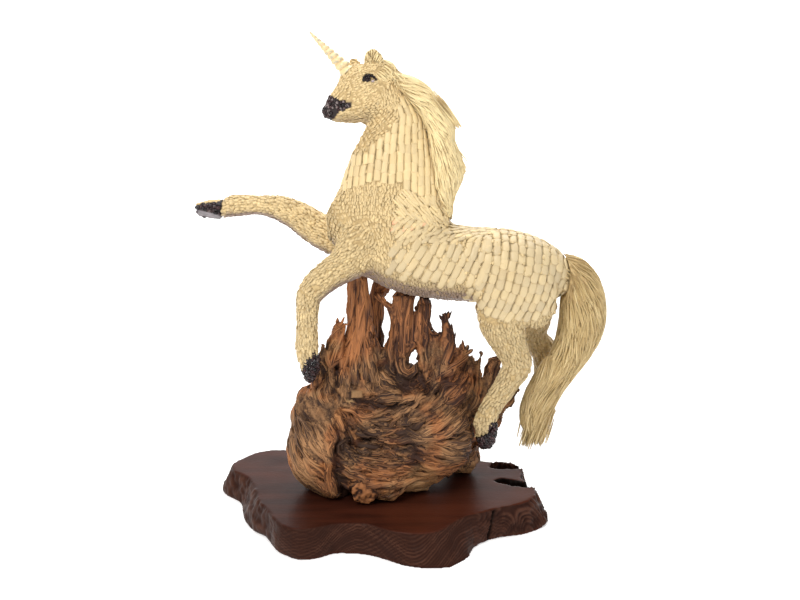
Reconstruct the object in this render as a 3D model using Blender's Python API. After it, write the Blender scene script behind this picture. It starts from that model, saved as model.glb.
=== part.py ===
"""A rearing unicorn faced with small seashells, carried by the prongs of a driftwood burl
that stands on a slab of dark wood with a live edge.

X runs to the right along the slab, Y into the picture and Z up. The origin is the middle of
the slab's flat underside. The unicorn faces -X and shows its left side, which is towards -Y.
"""
import math

import bmesh
import bpy
import numpy as np
from mathutils import Matrix, Vector

# Driving dimensions, in metres
SLAB_LENGTH = 0.399  # left tip to right tip
SLAB_DEPTH = 0.257  # front lobe to back edge
SLAB_THICKNESS = 0.034
BURL_LENGTH = 0.236  # across the bulge, left to right
BURL_DEPTH = 0.128  # front to back
BURL_HEIGHT = 0.248  # slab to the chest of the figure, which is the length of the tall prong
FIGURE_LENGTH = 0.480  # raised forefoot to the back of the tail
HORN_LENGTH = 0.052
HORN_RADIUS = 0.0062  # at the forehead
EYE_LENGTH = 0.015
SEAM = 0.0003  # gap left wherever two pieces touch

# One unit of each table below, in metres: the tables are in millimetres of the sizes above.
SLAB_X, SLAB_Y = SLAB_LENGTH / 399, SLAB_DEPTH / 257
BURL_UNIT = (BURL_LENGTH / 236, BURL_DEPTH / 128, BURL_HEIGHT / 248)
FIGURE_UNIT = (FIGURE_LENGTH / 480,) * 3

# The seat is where the tall prong meets the chest. Every row of the figure is measured from it.
SEAT = Vector((-22 * BURL_UNIT[0], 25 * BURL_UNIT[1], SLAB_THICKNESS + BURL_HEIGHT))
BURL_FOOT = Vector((0, 0, SLAB_THICKNESS))

# Slab outline, from the left tip along the front and round the back: x, y of the foot of the
# live edge, then x, y of its top.
SLAB_OUTLINE = (
    (-200, 74, -186, 70), (-196, 62, -182, 57), (-187, 52, -170, 45), (-173, 36, -156, 26),
    (-166, 11, -148, 5), (-160, -16, -142, -20), (-145, -42, -134, -42), (-131, -54, -123, -64),
    (-116, -86, -112, -86), (-104, -99, -101, -98), (-86, -110, -86, -104), (-65, -105, -64, -97),
    (-50, -95, -50, -91), (-32, -95, -32, -89), (-14, -98, -15, -89), (7, -109, 3, -101),
    (28, -123, 24, -111), (53, -129, 50, -113), (77, -126, 68, -104), (89, -114, 80, -88),
    (99, -103, 88, -78), (106, -80, 99, -69), (124, -63, 118, -60), (138, -56, 136, -48),
    (161, -50, 158, -40), (181, -38, 171, -31), (194, -23, 180, -16), (199, -4, 182, 3),
    (191, 17, 175, 18), (183, 36, 170, 36), (182, 55, 173, 57), (179, 72, 171, 73),
    (158, 90, 151, 86), (138, 90, 136, 84), (118, 97, 116, 92), (80, 104, 80, 99),
    (40, 105, 40, 101), (0, 112, 0, 108), (-40, 117, -40, 112), (-80, 124, -82, 119),
    (-112, 130, -114, 124), (-146, 127, -146, 122), (-168, 118, -164, 114), (-186, 103, -177, 96),
    (-197, 89, -185, 82),
)
# How far each level of the live edge swells past the line from its foot to its top, in mm
SLAB_LEVELS = ((0.0, 0.0), (0.12, 1.2), (0.5, 2.0), (0.9, 1.2), (1.0, 0.0))
# Two splits in the back right of the slab: x, y of each corner
SLAB_SPLITS = (
    ((136, 27), (146, 33), (186, 17), (188, 4), (156, 12), (142, 22)),
    ((135, 68), (141, 84), (160, 78), (182, 66), (160, 62), (146, 62)),
)

# Rounded masses of the burl: centre x, y and height above the slab, then three half sizes
BURL_MASSES = (
    (2, 36, 62, 100, 56, 66), (-66, 6, 50, 45, 46, 56), (-70, 14, 92, 35, 36, 36),
    (50, 12, 66, 62, 50, 60), (98, 54, 24, 24, 26, 26), (74, 24, 116, 40, 30, 34),
    (-36, 22, 112, 42, 32, 44), (12, 22, 112, 52, 28, 38), (-20, -6, 34, 34, 34, 30),
    (-54, -8, 22, 32, 32, 28), (4, -8, 22, 30, 40, 28), (36, 10, 26, 32, 34, 32),
    (-34, 60, 92, 44, 30, 40), (44, 58, 98, 44, 30, 38),
)
# Root strands, foot first: x, y, height above the slab, half width, half width across
BURL_STRANDS = (
    # left spur, behind the near forehoof
    ((-62, 16, 105, 16, 14), (-56, 17, 146, 12, 9), (-52, 18, 172, 9, 6), (-47, 18, 198, 4, 4)),
    ((-76, 10, 118, 9, 8), (-70, 12, 150, 5, 5), (-66, 12, 178, 2.5, 3)),
    # tall prong, up to the chest
    ((-27, 20, 100, 33, 26), (-21, 21, 142, 26, 22), (-20, 23, 172, 19.5, 19),
     (-23, 25, 202, 15.5, 17), (-25, 25, 226, 13.5, 16), (-26, 25, 250, 12, 15),
     (-26, 25, 274, 12, 14)),
    # its darker neighbour behind
    ((-8, 44, 140, 12, 11), (-6, 45, 165, 9.5, 10), (-5, 45, 184, 9, 10), (-4, 45, 222, 9, 9),
     (-1, 40, 246, 8, 9), (-1, 36, 268, 8, 9)),
    # second prong, with its fork
    ((14, 25, 110, 23, 20), (17, 25, 156, 17, 15), (22, 25, 172, 14, 14),
     (25, 25, 190, 13.5, 13), (26, 25, 208, 13.5, 12), (29, 25, 230, 12, 11),
     (35, 26, 254, 8, 9)),
    ((18, 22, 198, 5, 6), (9, 20, 218, 4.5, 5), (1, 18, 226, 2.5, 3)),
    ((22, 20, 212, 4, 5), (17, 19, 226, 3, 3), (14, 18, 236, 1.8, 2)),
    # third prong, split by a hole at its foot
    ((25, 26, 112, 11, 13), (26.5, 26, 148, 6.5, 11), (28.5, 26, 160, 6.5, 11),
     (37, 26, 178, 10, 11), (47, 25, 199, 9.5, 9.5), (52, 25, 214, 7.5, 8),
     (53, 25, 223, 6.5, 7)),
    ((59, 22, 118, 13, 14), (54, 22, 144, 8.5, 11), (53, 22, 160, 8, 11), (49, 23, 180, 9, 10),
     (51, 25, 199, 8.5, 8)),
    # ragged crest to the right of it
    ((58, 25, 136, 20, 14), (59, 25, 163, 15, 9), (65, 25, 186, 3.5, 4)),
    ((76, 18, 118, 22, 18), (79, 19, 160, 13, 10), (78, 20, 184, 7, 6), (74.5, 20, 204, 5.5, 5)),
    ((88, 24, 116, 17, 16), (92, 25, 146, 13, 9), (97, 27, 170, 3, 3)),
    ((100, 26, 108, 14, 14), (103, 27, 134, 9, 8), (109, 29, 158, 2, 2.5)),
    ((110, 31, 98, 12, 12), (114, 32, 126, 8.5, 6), (117, 33, 150, 3, 3), (119, 33, 164, 1.5, 2)),
    # plank behind the near hind leg
    ((104, 34, 58, 24, 22), (120, 38, 88, 17, 12), (130, 40, 118, 11, 9), (138, 42, 148, 6, 7)),
    ((112, 36, 52, 22, 18), (136, 42, 82, 14, 10), (150, 46, 102, 12.5, 9),
     (163, 48, 115, 9, 7)),
    # sawn stub that faces forward
    ((-17, 6, 34, 22, 22), (-17, -18, 23, 17, 17), (-17, -56, 16, 15.5, 15.5)),
)

# Where the stub's sawn face stands
STUB_END = (-17, -48, 16)
STUB_CUT = 0.05  # side of the cube that the saw takes off the stub

# Sections of the figure, measured from the seat: x, y (left is minus), z, half height of the
# section in the plane of the picture, half width across it.
BARREL = ((-18, 0, 62, 25, 25), (0, 0, 54, 43, 37), (28, 0, 45, 46, 41), (56, 0, 32, 47, 41),
          (91, 0, 24, 45, 41), (125, 0, 20, 44, 39), (160, 0, 18, 44, 43), (188, 0, 16, 40, 42),
          (212, 0, 9, 32, 30), (226, 0, -5, 20, 16))
# Level sections from the breast up to the poll
NECK = ((37, 0, 36, 50, 34), (31, 0, 58, 66, 38), (31, 0, 77, 72, 39), (35, 0, 106, 60, 36),
        (37, 0, 139, 50, 31), (39, 0, 167, 38, 25), (41, 0, 189, 28, 22), (32, 0, 211, 22, 19),
        (20, 0, 227, 18, 17))
HEAD = ((32, 0, 225, 22, 17), (11, 0, 214, 35, 22), (-2, 0, 208, 34, 20.5),
        (-11, -1.5, 203, 26.5, 16.5), (-19, -3, 199, 21.5, 13.5), (-27, -4.5, 195.5, 16.5, 11.5),
        (-32.5, -6, 193.5, 12.5, 10), (-36, -7, 192.5, 8, 8))
MANE = ((27, 0, 243, 7, 10), (39, 0, 226, 11, 17), (54, 0, 218, 14.5, 19), (67, 0, 209, 15, 20),
        (79, 0, 193, 14.5, 20.5), (90, 0, 174, 17, 21.5), (90, 0, 160, 16, 22),
        (94, 0, 136, 22.5, 23.5), (94, 0, 120, 22.5, 24), (91, 0, 104, 18, 23.5),
        (92, 0, 90, 15.5, 22), (98, 0, 76, 8, 16))
TAIL = ((212, 0, 27, 8, 9), (233, 0, 21, 13, 13), (245, 0, 10, 20, 16), (254, 0, -10, 25, 19),
        (257, 0, -34, 27, 20), (255, 0, -58, 27, 20), (245, -1, -83, 23, 19),
        (233, -2, -106, 19, 17), (221, -3, -126, 17.5, 16), (211, -4, -145, 18, 16),
        (206, -4, -164, 20, 15), (204, -4, -179, 15, 12), (202, -4, -188, 8, 7))
TAIL_LOCK = ((217, -10, -88, 5, 6), (212, -13, -106, 8.5, 9), (203, -12, -128, 11, 10),
             (196, -10, -150, 10, 10), (193, -9, -170, 7, 7))
# Each leg down to the tip of its hoof
FORE_LEFT = ((6, -20, 52, 31, 18), (-9, -25, 32, 25, 17), (-22, -28, 22, 20, 15),
             (-39, -30, 11, 18, 14), (-55, -32, -5, 16, 13), (-59, -32, -20, 14, 12),
             (-60, -32, -44, 13, 11.5), (-61, -32, -73, 14, 12), (-58, -32, -87, 13, 12),
             (-58, -32, -99, 10.5, 11), (-58, -32, -108, 7, 8))
FORE_RIGHT = ((-11, 20, 44, 28, 18), (-31, 26, 47, 23, 16), (-51, 30, 55, 21, 14.5),
              (-68, 32, 67, 19, 13.5), (-85, 32, 76, 17, 13), (-100, 32, 81, 15, 12),
              (-118, 32, 83, 12, 11), (-135, 32, 83, 13, 11.5), (-149, 32, 82, 13.5, 12),
              (-160, 32, 79, 11.5, 11.5), (-173, 32, 78, 11.5, 12), (-188, 32, 77, 9, 10.5))
HIND_LEFT = ((176, -20, 20, 42, 24), (173, -26, -16, 51, 22), (162, -30, -38, 32, 19),
             (167, -32, -61, 22, 16), (176, -32, -79, 18, 14), (179, -32, -92, 18, 12.5),
             (169, -32, -111, 15, 11.5), (157, -32, -131, 14, 11), (147, -32, -148, 13, 11.5),
             (144, -32, -160, 14.5, 13), (145, -32, -171, 13, 13), (145, -32, -183, 11, 12),
             (144, -32, -189, 8, 9))
HIND_RIGHT = ((191, 20, 6, 36, 24), (201, 26, -30, 32, 21), (207, 30, -52, 20, 16),
              (205, 32, -74, 16, 13.5), (220, 34, -98, 17, 12.5), (219, 34, -125, 13, 11),
              (217, 34, -154, 13, 11), (216, 34, -169, 14.5, 13), (215, 34, -182, 13, 13),
              (214, 34, -196, 11, 12), (213, 34, -203, 8, 9))
# Where each hoof starts: a point of the hairline and the way down the hoof, as x, z
HOOF_LINES = {
    "hoof_fore_left": (FORE_LEFT, (-57, -90), (0.84, -0.54)),
    "hoof_fore_right": (FORE_RIGHT, (-160, 78), (-1.0, 0.06)),
    "hoof_hind_left": (HIND_LEFT, (144.5, -170), (0.58, -0.81)),
    "hoof_hind_right": (HIND_RIGHT, (215, -186), (0.3, -0.95)),
}
# Ears: x, y, z of the root and of the tip, half width, half thickness
EARS = ((17, -12.5, 243, 14, -15, 263, 12.5, 5), (-5, 12, 242, -7, 14, 252, 8, 4.5))
# The forehead point where the horn stands, and a point on the line of its axis
HORN_ROOT, HORN_LINE = (-17, 0, 241), (-53, 0, 278)
HORN_WHORLS = 11
HORN_RIM = 1.12  # half width of each whorl's rim over the radius of the cone there
HORN_TAPER = 0.93  # share of the radius at the root that is gone at the tip
HORN_SUNK = 0.12  # share of the length that stands inside the forehead
HORN_SIDES = 8
# Eyes: x, y, z of the middle, turned to follow the cheek
EYES = ((11, -17.8, 231), (13, 17.6, 231))
FIGURE_VOXEL = 0.0022
BURL_VOXEL = 0.0026
# Triangles that each skin is thinned to before it is cut
LOBE_FACES = 9000
BURL_FACES = 2350
BODY_FACES = 3350
MANE_FACES = 420
TAIL_FACES = 560
FAR = 0.12  # side of a cube that cuts away all that lies beyond a point of a leg or the burl


def curve_through(rows, steps):
    """Rows of the smooth curve that passes through the given rows, `steps` to a gap."""
    rows = np.array(rows, float)
    padded = np.vstack([2 * rows[0] - rows[1], rows, 2 * rows[-1] - rows[-2]])
    t = np.arange(steps)[:, None] / steps
    parts = [
        0.5 * (2 * b + (c - a) * t + (2 * a - 5 * b + 4 * c - d) * t**2
               + (3 * b - a - 3 * c + d) * t**3)
        for a, b, c, d in zip(padded, padded[1:], padded[2:], padded[3:])
    ]
    return np.vstack([*parts, rows[-1:]])


def add_object(name, mesh):
    obj = bpy.data.objects.new(name, mesh)
    bpy.context.scene.collection.objects.link(obj)
    return obj


def skin(name, rings):
    """A closed mesh over rings of points, each ring as long as the next."""
    count, sides = rings.shape[:2]
    near = np.arange(sides)
    after = (near + 1) % sides
    faces = []
    for i in range(count - 1):
        a, b = i * sides, (i + 1) * sides
        faces += np.stack([a + near, a + after, b + after, b + near], axis=1).tolist()
    faces += [near[::-1].tolist(), ((count - 1) * sides + near).tolist()]
    mesh = bpy.data.meshes.new(name)
    mesh.from_pydata(rings.reshape(-1, 3).tolist(), [], faces)
    built = bmesh.new()
    built.from_mesh(mesh)
    bmesh.ops.recalc_face_normals(built, faces=built.faces)
    built.to_mesh(mesh)
    built.free()
    return add_object(name, mesh)


def loft(name, rows, unit, origin, sides=20, steps=3, level=False, rounding=0.8):
    """A limb with oval sections and rounded ends. Its rows hold the centre of each section,
    then half its height and half its width. Level sections lie flat; the others are square
    to the limb."""
    path = curve_through(rows, steps)
    centre, high, wide = path[:, :3], path[:, 3], path[:, 4]
    along = np.gradient(centre, axis=0)
    along /= np.linalg.norm(along, axis=1, keepdims=True)
    bend = np.array([45, 70, 86]) * math.pi / 180
    ends = []
    for at, way in ((0, -1), (-1, 1)):
        out = way * along[at] * rounding * min(high[at], wide[at])
        ends.append((centre[at] + np.sin(bend)[:, None] * out,
                     np.cos(bend) * high[at], np.cos(bend) * wide[at],
                     np.repeat(along[at][None], len(bend), axis=0)))
    (c0, h0, w0, a0), (c1, h1, w1, a1) = ends
    centre = np.vstack([c0[::-1], centre, c1])
    high, wide = np.concatenate([h0[::-1], high, h1]), np.concatenate([w0[::-1], wide, w1])
    along = np.vstack([a0[::-1], along, a1])
    if level:
        across = np.repeat([[0.0, 1.0, 0.0]], len(centre), axis=0)
        up = np.repeat([[1.0, 0.0, 0.0]], len(centre), axis=0)
    else:
        across = np.array([0.0, 1.0, 0.0]) - along[:, 1:2] * along
        across /= np.linalg.norm(across, axis=1, keepdims=True)
        up = np.cross(along, across)
    turn = np.arange(sides) * 2 * math.pi / sides
    rings = (centre[:, None] + high[:, None, None] * np.cos(turn)[None, :, None] * up[:, None]
             + wide[:, None, None] * np.sin(turn)[None, :, None] * across[:, None])
    return skin(name, rings * np.array(unit) + np.array(origin))


def ball(name, centre, half, unit, origin, turn=None, fine=3):
    """An ellipsoid of the given half sizes."""
    built = bmesh.new()
    bmesh.ops.create_icosphere(built, subdivisions=fine, radius=1.0)
    place = Matrix.Translation(origin) @ Matrix.Diagonal((*unit, 1)) @ Matrix.Translation(centre)
    built.transform(place @ (turn or Matrix()) @ Matrix.Diagonal((*half, 1)))
    mesh = bpy.data.meshes.new(name)
    built.to_mesh(mesh)
    built.free()
    return add_object(name, mesh)


def prism(name, corners, low, high):
    """An upright block over a flat outline."""
    ring = np.array([(x, y, 0.0) for x, y in corners])
    return skin(name, np.stack([ring + (0, 0, low), ring + (0, 0, high)]))


def block(name, point, way, size):
    """A cube whose one face stands at the point, square to the way it reaches."""
    turn = Vector(way).to_track_quat("Z", "Y").to_matrix().to_4x4()
    built = bmesh.new()
    bmesh.ops.create_cube(built, size=size)
    built.transform(Matrix.Translation(point) @ turn @ Matrix.Translation((0, 0, size / 2)))
    mesh = bpy.data.meshes.new(name)
    built.to_mesh(mesh)
    built.free()
    return add_object(name, mesh)


def settle(obj):
    """Puts what the modifiers make of the object in place of its mesh."""
    graph = bpy.context.evaluated_depsgraph_get()
    graph.update()
    mesh = bpy.data.meshes.new_from_object(obj.evaluated_get(graph))
    obj.modifiers.clear()
    obj.data = mesh
    return obj


def as_cutter(obj):
    """Keeps a helper out of the model."""
    obj.hide_render = True
    obj.display_type = "WIRE"
    return obj


def combine(obj, other, operation):
    """Cuts the other shape from the object, or keeps what they share."""
    as_cutter(other)
    step = obj.modifiers.new(operation.title(), "BOOLEAN")
    step.operation = operation
    step.solver = "EXACT"
    step.object = other
    settle(obj)
    return obj


def drop(obj):
    bpy.data.objects.remove(obj)


def largest_body(obj):
    """Removes crumbs that a cut has left apart from the main body."""
    built = bmesh.new()
    built.from_mesh(obj.data)
    bmesh.ops.remove_doubles(built, verts=built.verts, dist=1e-7)
    left, bodies = set(built.verts), []
    while left:
        body, edge = set(), [left.pop()]
        while edge:
            vertex = edge.pop()
            body.add(vertex)
            near = {e.other_vert(vertex) for e in vertex.link_edges} & left
            left -= near
            edge += near
        bodies.append(body)
    bodies.sort(key=len)
    for body in bodies[:-1]:
        bmesh.ops.delete(built, geom=list(body), context="VERTS")
    built.to_mesh(obj.data)
    built.free()
    return obj


def fuse(name, pieces, voxel, budget, passes=3):
    """One closed skin over overlapping pieces, softened and kept to about `budget` triangles."""
    built = bmesh.new()
    for piece in pieces:
        built.from_mesh(piece.data)
        drop(piece)
    mesh = bpy.data.meshes.new(name)
    built.to_mesh(mesh)
    built.free()
    obj = add_object(name, mesh)
    skin_over = obj.modifiers.new("One skin", "REMESH")
    skin_over.mode = "VOXEL"
    skin_over.voxel_size = voxel
    soften = obj.modifiers.new("Soften", "SMOOTH")
    soften.factor = 0.5
    soften.iterations = passes
    settle(obj)
    largest_body(obj)
    fewer = obj.modifiers.new("Fewer faces", "DECIMATE")
    fewer.ratio = min(1.0, budget / (2 * len(obj.data.polygons)))
    fewer.use_collapse_triangulate = True
    return settle(obj)


def swollen(obj, by):
    """A copy of the object, grown outwards all over, which cuts a clearance for it."""
    copy = obj.copy()
    copy.data = obj.data.copy()
    bpy.context.scene.collection.objects.link(copy)
    built = bmesh.new()
    built.from_mesh(copy.data)
    bmesh.ops.recalc_face_normals(built, faces=built.faces)
    built.normal_update()
    moved = [v.co + v.normal * by * v.calc_shell_factor() for v in built.verts]
    for vertex, co in zip(built.verts, moved):
        vertex.co = co
    built.to_mesh(copy.data)
    built.free()
    return copy


def clear_of(obj, neighbours):
    """Cuts the object back to leave the seam between it and each neighbour."""
    for neighbour in neighbours:
        room = swollen(neighbour, 1.25 * SEAM)
        combine(obj, room, "DIFFERENCE")
        drop(room)
    return largest_body(obj)


def figure_point(x, y, z):
    return SEAT + Vector((x, y, z)) * FIGURE_UNIT[0]


def figure_loft(name, rows, **options):
    return loft(name, rows, FIGURE_UNIT, SEAT, **options)


def make_slab():
    rows = [*SLAB_OUTLINE[-1:], *SLAB_OUTLINE, *SLAB_OUTLINE[:2]]
    around = curve_through(rows, 2)[2:-4]
    foot, top = around[:, :2], around[:, 2:]
    out = foot / np.linalg.norm(foot, axis=1, keepdims=True)
    levels = []
    for share, swell in SLAB_LEVELS:
        flat = (foot + (top - foot) * share + out * swell) * (SLAB_X, SLAB_Y)
        levels.append(np.column_stack([flat, np.full(len(flat), share * SLAB_THICKNESS)]))
    slab = skin("base_slab", np.stack(levels))
    for corners in SLAB_SPLITS:
        corners = [(x * SLAB_X, y * SLAB_Y) for x, y in corners]
        split = prism("split", corners, -0.01, SLAB_THICKNESS + 0.01)
        combine(slab, split, "DIFFERENCE")
        drop(split)
    return largest_body(slab)


def make_burl(neighbours):
    masses = [
        ball("mass", (x, y, z), (a, b, c), BURL_UNIT, BURL_FOOT)
        for x, y, z, a, b, c in BURL_MASSES
    ]
    pieces = [fuse("lobes", masses, 2 * BURL_VOXEL, LOBE_FACES, passes=8)]
    pieces += [
        loft("strand", rows, BURL_UNIT, BURL_FOOT, sides=14, rounding=0.35)
        for rows in BURL_STRANDS
    ]
    burl = fuse("driftwood_burl", pieces, BURL_VOXEL, BURL_FACES, passes=1)
    ground = block("ground", (0, 0, SLAB_THICKNESS + SEAM), (0, 0, -1), 4 * BURL_LENGTH)
    combine(burl, ground, "DIFFERENCE")
    drop(ground)
    stub_end = BURL_FOOT + Vector(a * b for a, b in zip(STUB_END, BURL_UNIT))
    sawn = block("sawn", stub_end, (0.05, -1, -0.2), STUB_CUT)
    combine(burl, sawn, "DIFFERENCE")
    drop(sawn)
    return clear_of(burl, neighbours)


def make_ear(x, y, z, tip_x, tip_y, tip_z, wide, thick):
    root, tip = Vector((x, y, z)), Vector((tip_x, tip_y, tip_z))
    length = (tip - root).length
    along = (tip - root) / length
    flat = along.cross(Vector((0, 1, 0))).normalized()
    turn = Matrix((flat, along.cross(flat), along)).transposed().to_4x4()
    half = (wide, thick, length)
    return ball("ear", tuple(root), half, FIGURE_UNIT, SEAT, turn)


def make_eye(name, x, y, z):
    unit = EYE_LENGTH / 15
    turn = Matrix.Rotation(math.radians(12 if y < 0 else -12), 4, "Z")
    at = figure_point(x, y, z)
    return ball(name, (0, 0, 0), (7.5, 3.2, 3.9), (unit,) * 3, at, turn, fine=2)


def make_horn(neighbours):
    """A screw shell: a slender cone whose whorls each swell to a rim."""
    root = figure_point(*HORN_ROOT)
    way = (figure_point(*HORN_LINE) - root).normalized()
    turn = np.array(way.to_track_quat("Z", "Y").to_matrix())
    shares, widths = [-HORN_SUNK], [1.0]
    for i in range(HORN_WHORLS):
        shares += [i / HORN_WHORLS, (i + 0.25) / HORN_WHORLS]
        widths += [1.0, HORN_RIM]
    shares.append(0.995)
    widths.append(1.0)
    radius = HORN_RADIUS * (1 - HORN_TAPER * np.array(shares)) * np.array(widths)
    angle = np.arange(HORN_SIDES) * 2 * math.pi / HORN_SIDES
    circle = np.column_stack([np.cos(angle), np.sin(angle), np.zeros(HORN_SIDES)])
    rings = np.stack([
        r * circle + (0, 0, s * HORN_LENGTH) for r, s in zip(radius, shares)
    ])
    horn = skin("horn", rings @ turn.T + np.array(root))
    return clear_of(horn, neighbours)


def make_hoof(name, rows, point, way):
    """The end of the leg beyond the hairline."""
    start = figure_point(point[0], rows[-1][1], point[1])
    way = Vector((way[0], 0, way[1])).normalized()
    hoof = figure_loft(name, rows[-5:], sides=12, steps=2, rounding=0.45)
    beyond = block("beyond", start + way * SEAM, way, FAR)
    combine(hoof, beyond, "INTERSECT")
    drop(beyond)
    return largest_body(hoof)


def cut_hoof_room(body, rows, point, way):
    start = figure_point(point[0], rows[-1][1], point[1])
    room = block("room", start, (way[0], 0, way[1]), FAR / 2)
    combine(body, room, "DIFFERENCE")
    drop(room)


def make_body(eyes):
    pieces = [
        figure_loft("barrel", BARREL),
        figure_loft("neck", NECK, level=True),
        figure_loft("head", HEAD),
        *(figure_loft("leg", rows) for rows in (FORE_LEFT, FORE_RIGHT, HIND_LEFT, HIND_RIGHT)),
        *(make_ear(*row) for row in EARS),
    ]
    body = fuse("unicorn_body", pieces, FIGURE_VOXEL, BODY_FACES)
    for rows, point, way in HOOF_LINES.values():
        cut_hoof_room(body, rows, point, way)
    return clear_of(body, eyes)


def material(name, colour, roughness, coat=0.0):
    mat = bpy.data.materials.new(name)
    mat.use_nodes = True
    surface = mat.node_tree.nodes["Principled BSDF"]
    surface.inputs["Base Color"].default_value = (*colour, 1)
    surface.inputs["Roughness"].default_value = roughness
    surface.inputs["Coat Weight"].default_value = coat
    return mat


for leftover in list(bpy.data.objects):
    bpy.data.objects.remove(leftover)

eyes = [make_eye(name, *at) for name, at in zip(("eye_left", "eye_right"), EYES)]
body = make_body(eyes)
hooves = [make_hoof(name, *line) for name, line in HOOF_LINES.items()]
mane = clear_of(
    fuse("mane", [figure_loft("mane", MANE)], FIGURE_VOXEL, MANE_FACES),
    [body, *eyes])
tail = clear_of(
    fuse("tail", [figure_loft("tail", TAIL), figure_loft("lock", TAIL_LOCK)],
         FIGURE_VOXEL, TAIL_FACES), [body, hooves[3]])
horn = make_horn([body])
slab = make_slab()
burl = make_burl([body, *hooves, tail])

SHELL, PALE_SHELL = (0.80, 0.68, 0.45), (0.84, 0.74, 0.52)
looks = (
    (slab, "dark varnished wood", (0.07, 0.022, 0.014), 0.35, 0.5),
    (burl, "weathered driftwood", (0.24, 0.11, 0.05), 0.8, 0.0),
    (body, "cream shell facing", SHELL, 0.5, 0.0),
    (mane, "mane shell slivers", PALE_SHELL, 0.5, 0.0),
    (tail, "tail shell slivers", SHELL, 0.5, 0.0),
    (horn, "screw shell", PALE_SHELL, 0.35, 0.0),
    *((hoof, "dark shell of " + hoof.name, (0.015, 0.011, 0.013), 0.2, 0.4) for hoof in hooves),
    *((eye, "black beads of " + eye.name, (0.008, 0.007, 0.008), 0.15, 0.4) for eye in eyes),
)
for piece, look, colour, roughness, coat in looks:
    piece.data.materials.clear()
    piece.data.materials.append(material(look, colour, roughness, coat))
    smooth = piece is not slab
    piece.data.polygons.foreach_set("use_smooth", [smooth] * len(piece.data.polygons))
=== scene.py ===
# %% [markdown]
# # A rearing unicorn faced with seashells
#
# The sculpture is a light core covered by hand with small cream shells: long petals laid in
# columns on the neck, flank and haunch, tiny pointed ones everywhere else, slivers for the
# mane and tail, a screw shell for the horn, and dark glossy chips and beads for hooves, nose
# and eyes. It is carried by the prongs of a driftwood burl on a dark slab with a live edge.
#
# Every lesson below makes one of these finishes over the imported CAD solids. The CAD says
# where each piece is and how large. The shells, the grain and the growth rings are added here.

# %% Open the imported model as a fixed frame
import math

import bmesh
import bpy
import numpy as np
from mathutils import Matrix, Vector
from mathutils.bvhtree import BVHTree


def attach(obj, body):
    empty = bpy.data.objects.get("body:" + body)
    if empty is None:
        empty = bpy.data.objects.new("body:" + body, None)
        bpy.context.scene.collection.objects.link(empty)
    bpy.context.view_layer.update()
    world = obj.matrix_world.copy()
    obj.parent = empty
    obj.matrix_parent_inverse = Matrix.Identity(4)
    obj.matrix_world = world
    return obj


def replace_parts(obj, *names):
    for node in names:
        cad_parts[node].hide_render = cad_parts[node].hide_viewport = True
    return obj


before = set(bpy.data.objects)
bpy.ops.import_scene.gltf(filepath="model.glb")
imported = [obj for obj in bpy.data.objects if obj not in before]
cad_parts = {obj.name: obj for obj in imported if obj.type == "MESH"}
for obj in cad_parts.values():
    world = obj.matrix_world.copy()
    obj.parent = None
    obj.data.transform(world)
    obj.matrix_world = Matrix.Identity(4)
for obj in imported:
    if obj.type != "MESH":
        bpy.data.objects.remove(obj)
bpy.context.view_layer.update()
MM = 0.001
MIDPLANE = 0.025  # the unicorn's left and right sides mirror about this y

# %% [markdown]
# ## The camera and the room
#
# The camera comes first, because shells are laid out in zones that are easiest to describe as
# they are seen from it. It looks down by 14 degrees through a 48 mm lens. Large soft lights
# stand for a studio tent. The pale floor and wall are made last, in the final step.

# %% Camera and lights
EYE = np.array([0.023, -1.175, 0.565])  # where the camera stands
LOOK_DOWN = 14.28  # degrees below level
camera_data = bpy.data.cameras.new("camera")
camera_data.lens, camera_data.sensor_width = 48.2, 36
camera = bpy.data.objects.new("camera", camera_data)
camera.location = EYE
camera.rotation_euler = (math.radians(90 - LOOK_DOWN), 0, 0)
bpy.context.scene.collection.objects.link(camera)
bpy.context.scene.camera = camera


def soft_light(name, place, target, size, power, colour):
    """A square area light of the given side that faces the target."""
    data = bpy.data.lights.new(name, "AREA")
    data.size, data.energy, data.color = size, power, colour
    lamp = bpy.data.objects.new(name, data)
    lamp.location = place
    lamp.rotation_euler = (Vector(target) - Vector(place)).to_track_quat("-Z", "Y").to_euler()
    bpy.context.scene.collection.objects.link(lamp)
    print(f"{name} light: {power} W, {size} m wide")


soft_light("key", (-0.8, -1.3, 2.0), (0, 0, 0.3), 0.9, 34, (1.0, 0.97, 0.93))
soft_light("fill", (1.6, -1.3, 1.1), (0, 0, 0.3), 1.4, 6, (0.96, 0.98, 1.0))
soft_light("top", (0.3, 0.6, 2.0), (0, 0, 0.2), 1.2, 18, (1.0, 0.99, 0.97))
world = bpy.data.worlds.new("tent")
bpy.context.scene.world = world
world.use_nodes = True
tent = world.node_tree.nodes["Background"].inputs
tent["Color"].default_value, tent["Strength"].default_value = (1, 1, 1, 1), 0.5
bpy.context.scene.view_settings.view_transform = "Standard"


# %% [markdown]
# ## Materials as arithmetic
#
# A procedural material is a formula. Wrapping a socket in a small class with overloaded
# operators lets the formula be written as one, and each + or * becomes a Math node.

# %% A socket that does arithmetic
MIX_FACTOR, MIX_FIRST, MIX_SECOND, MIX_RESULT = 0, 6, 7, 2  # the Mix node's colour sockets


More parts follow.
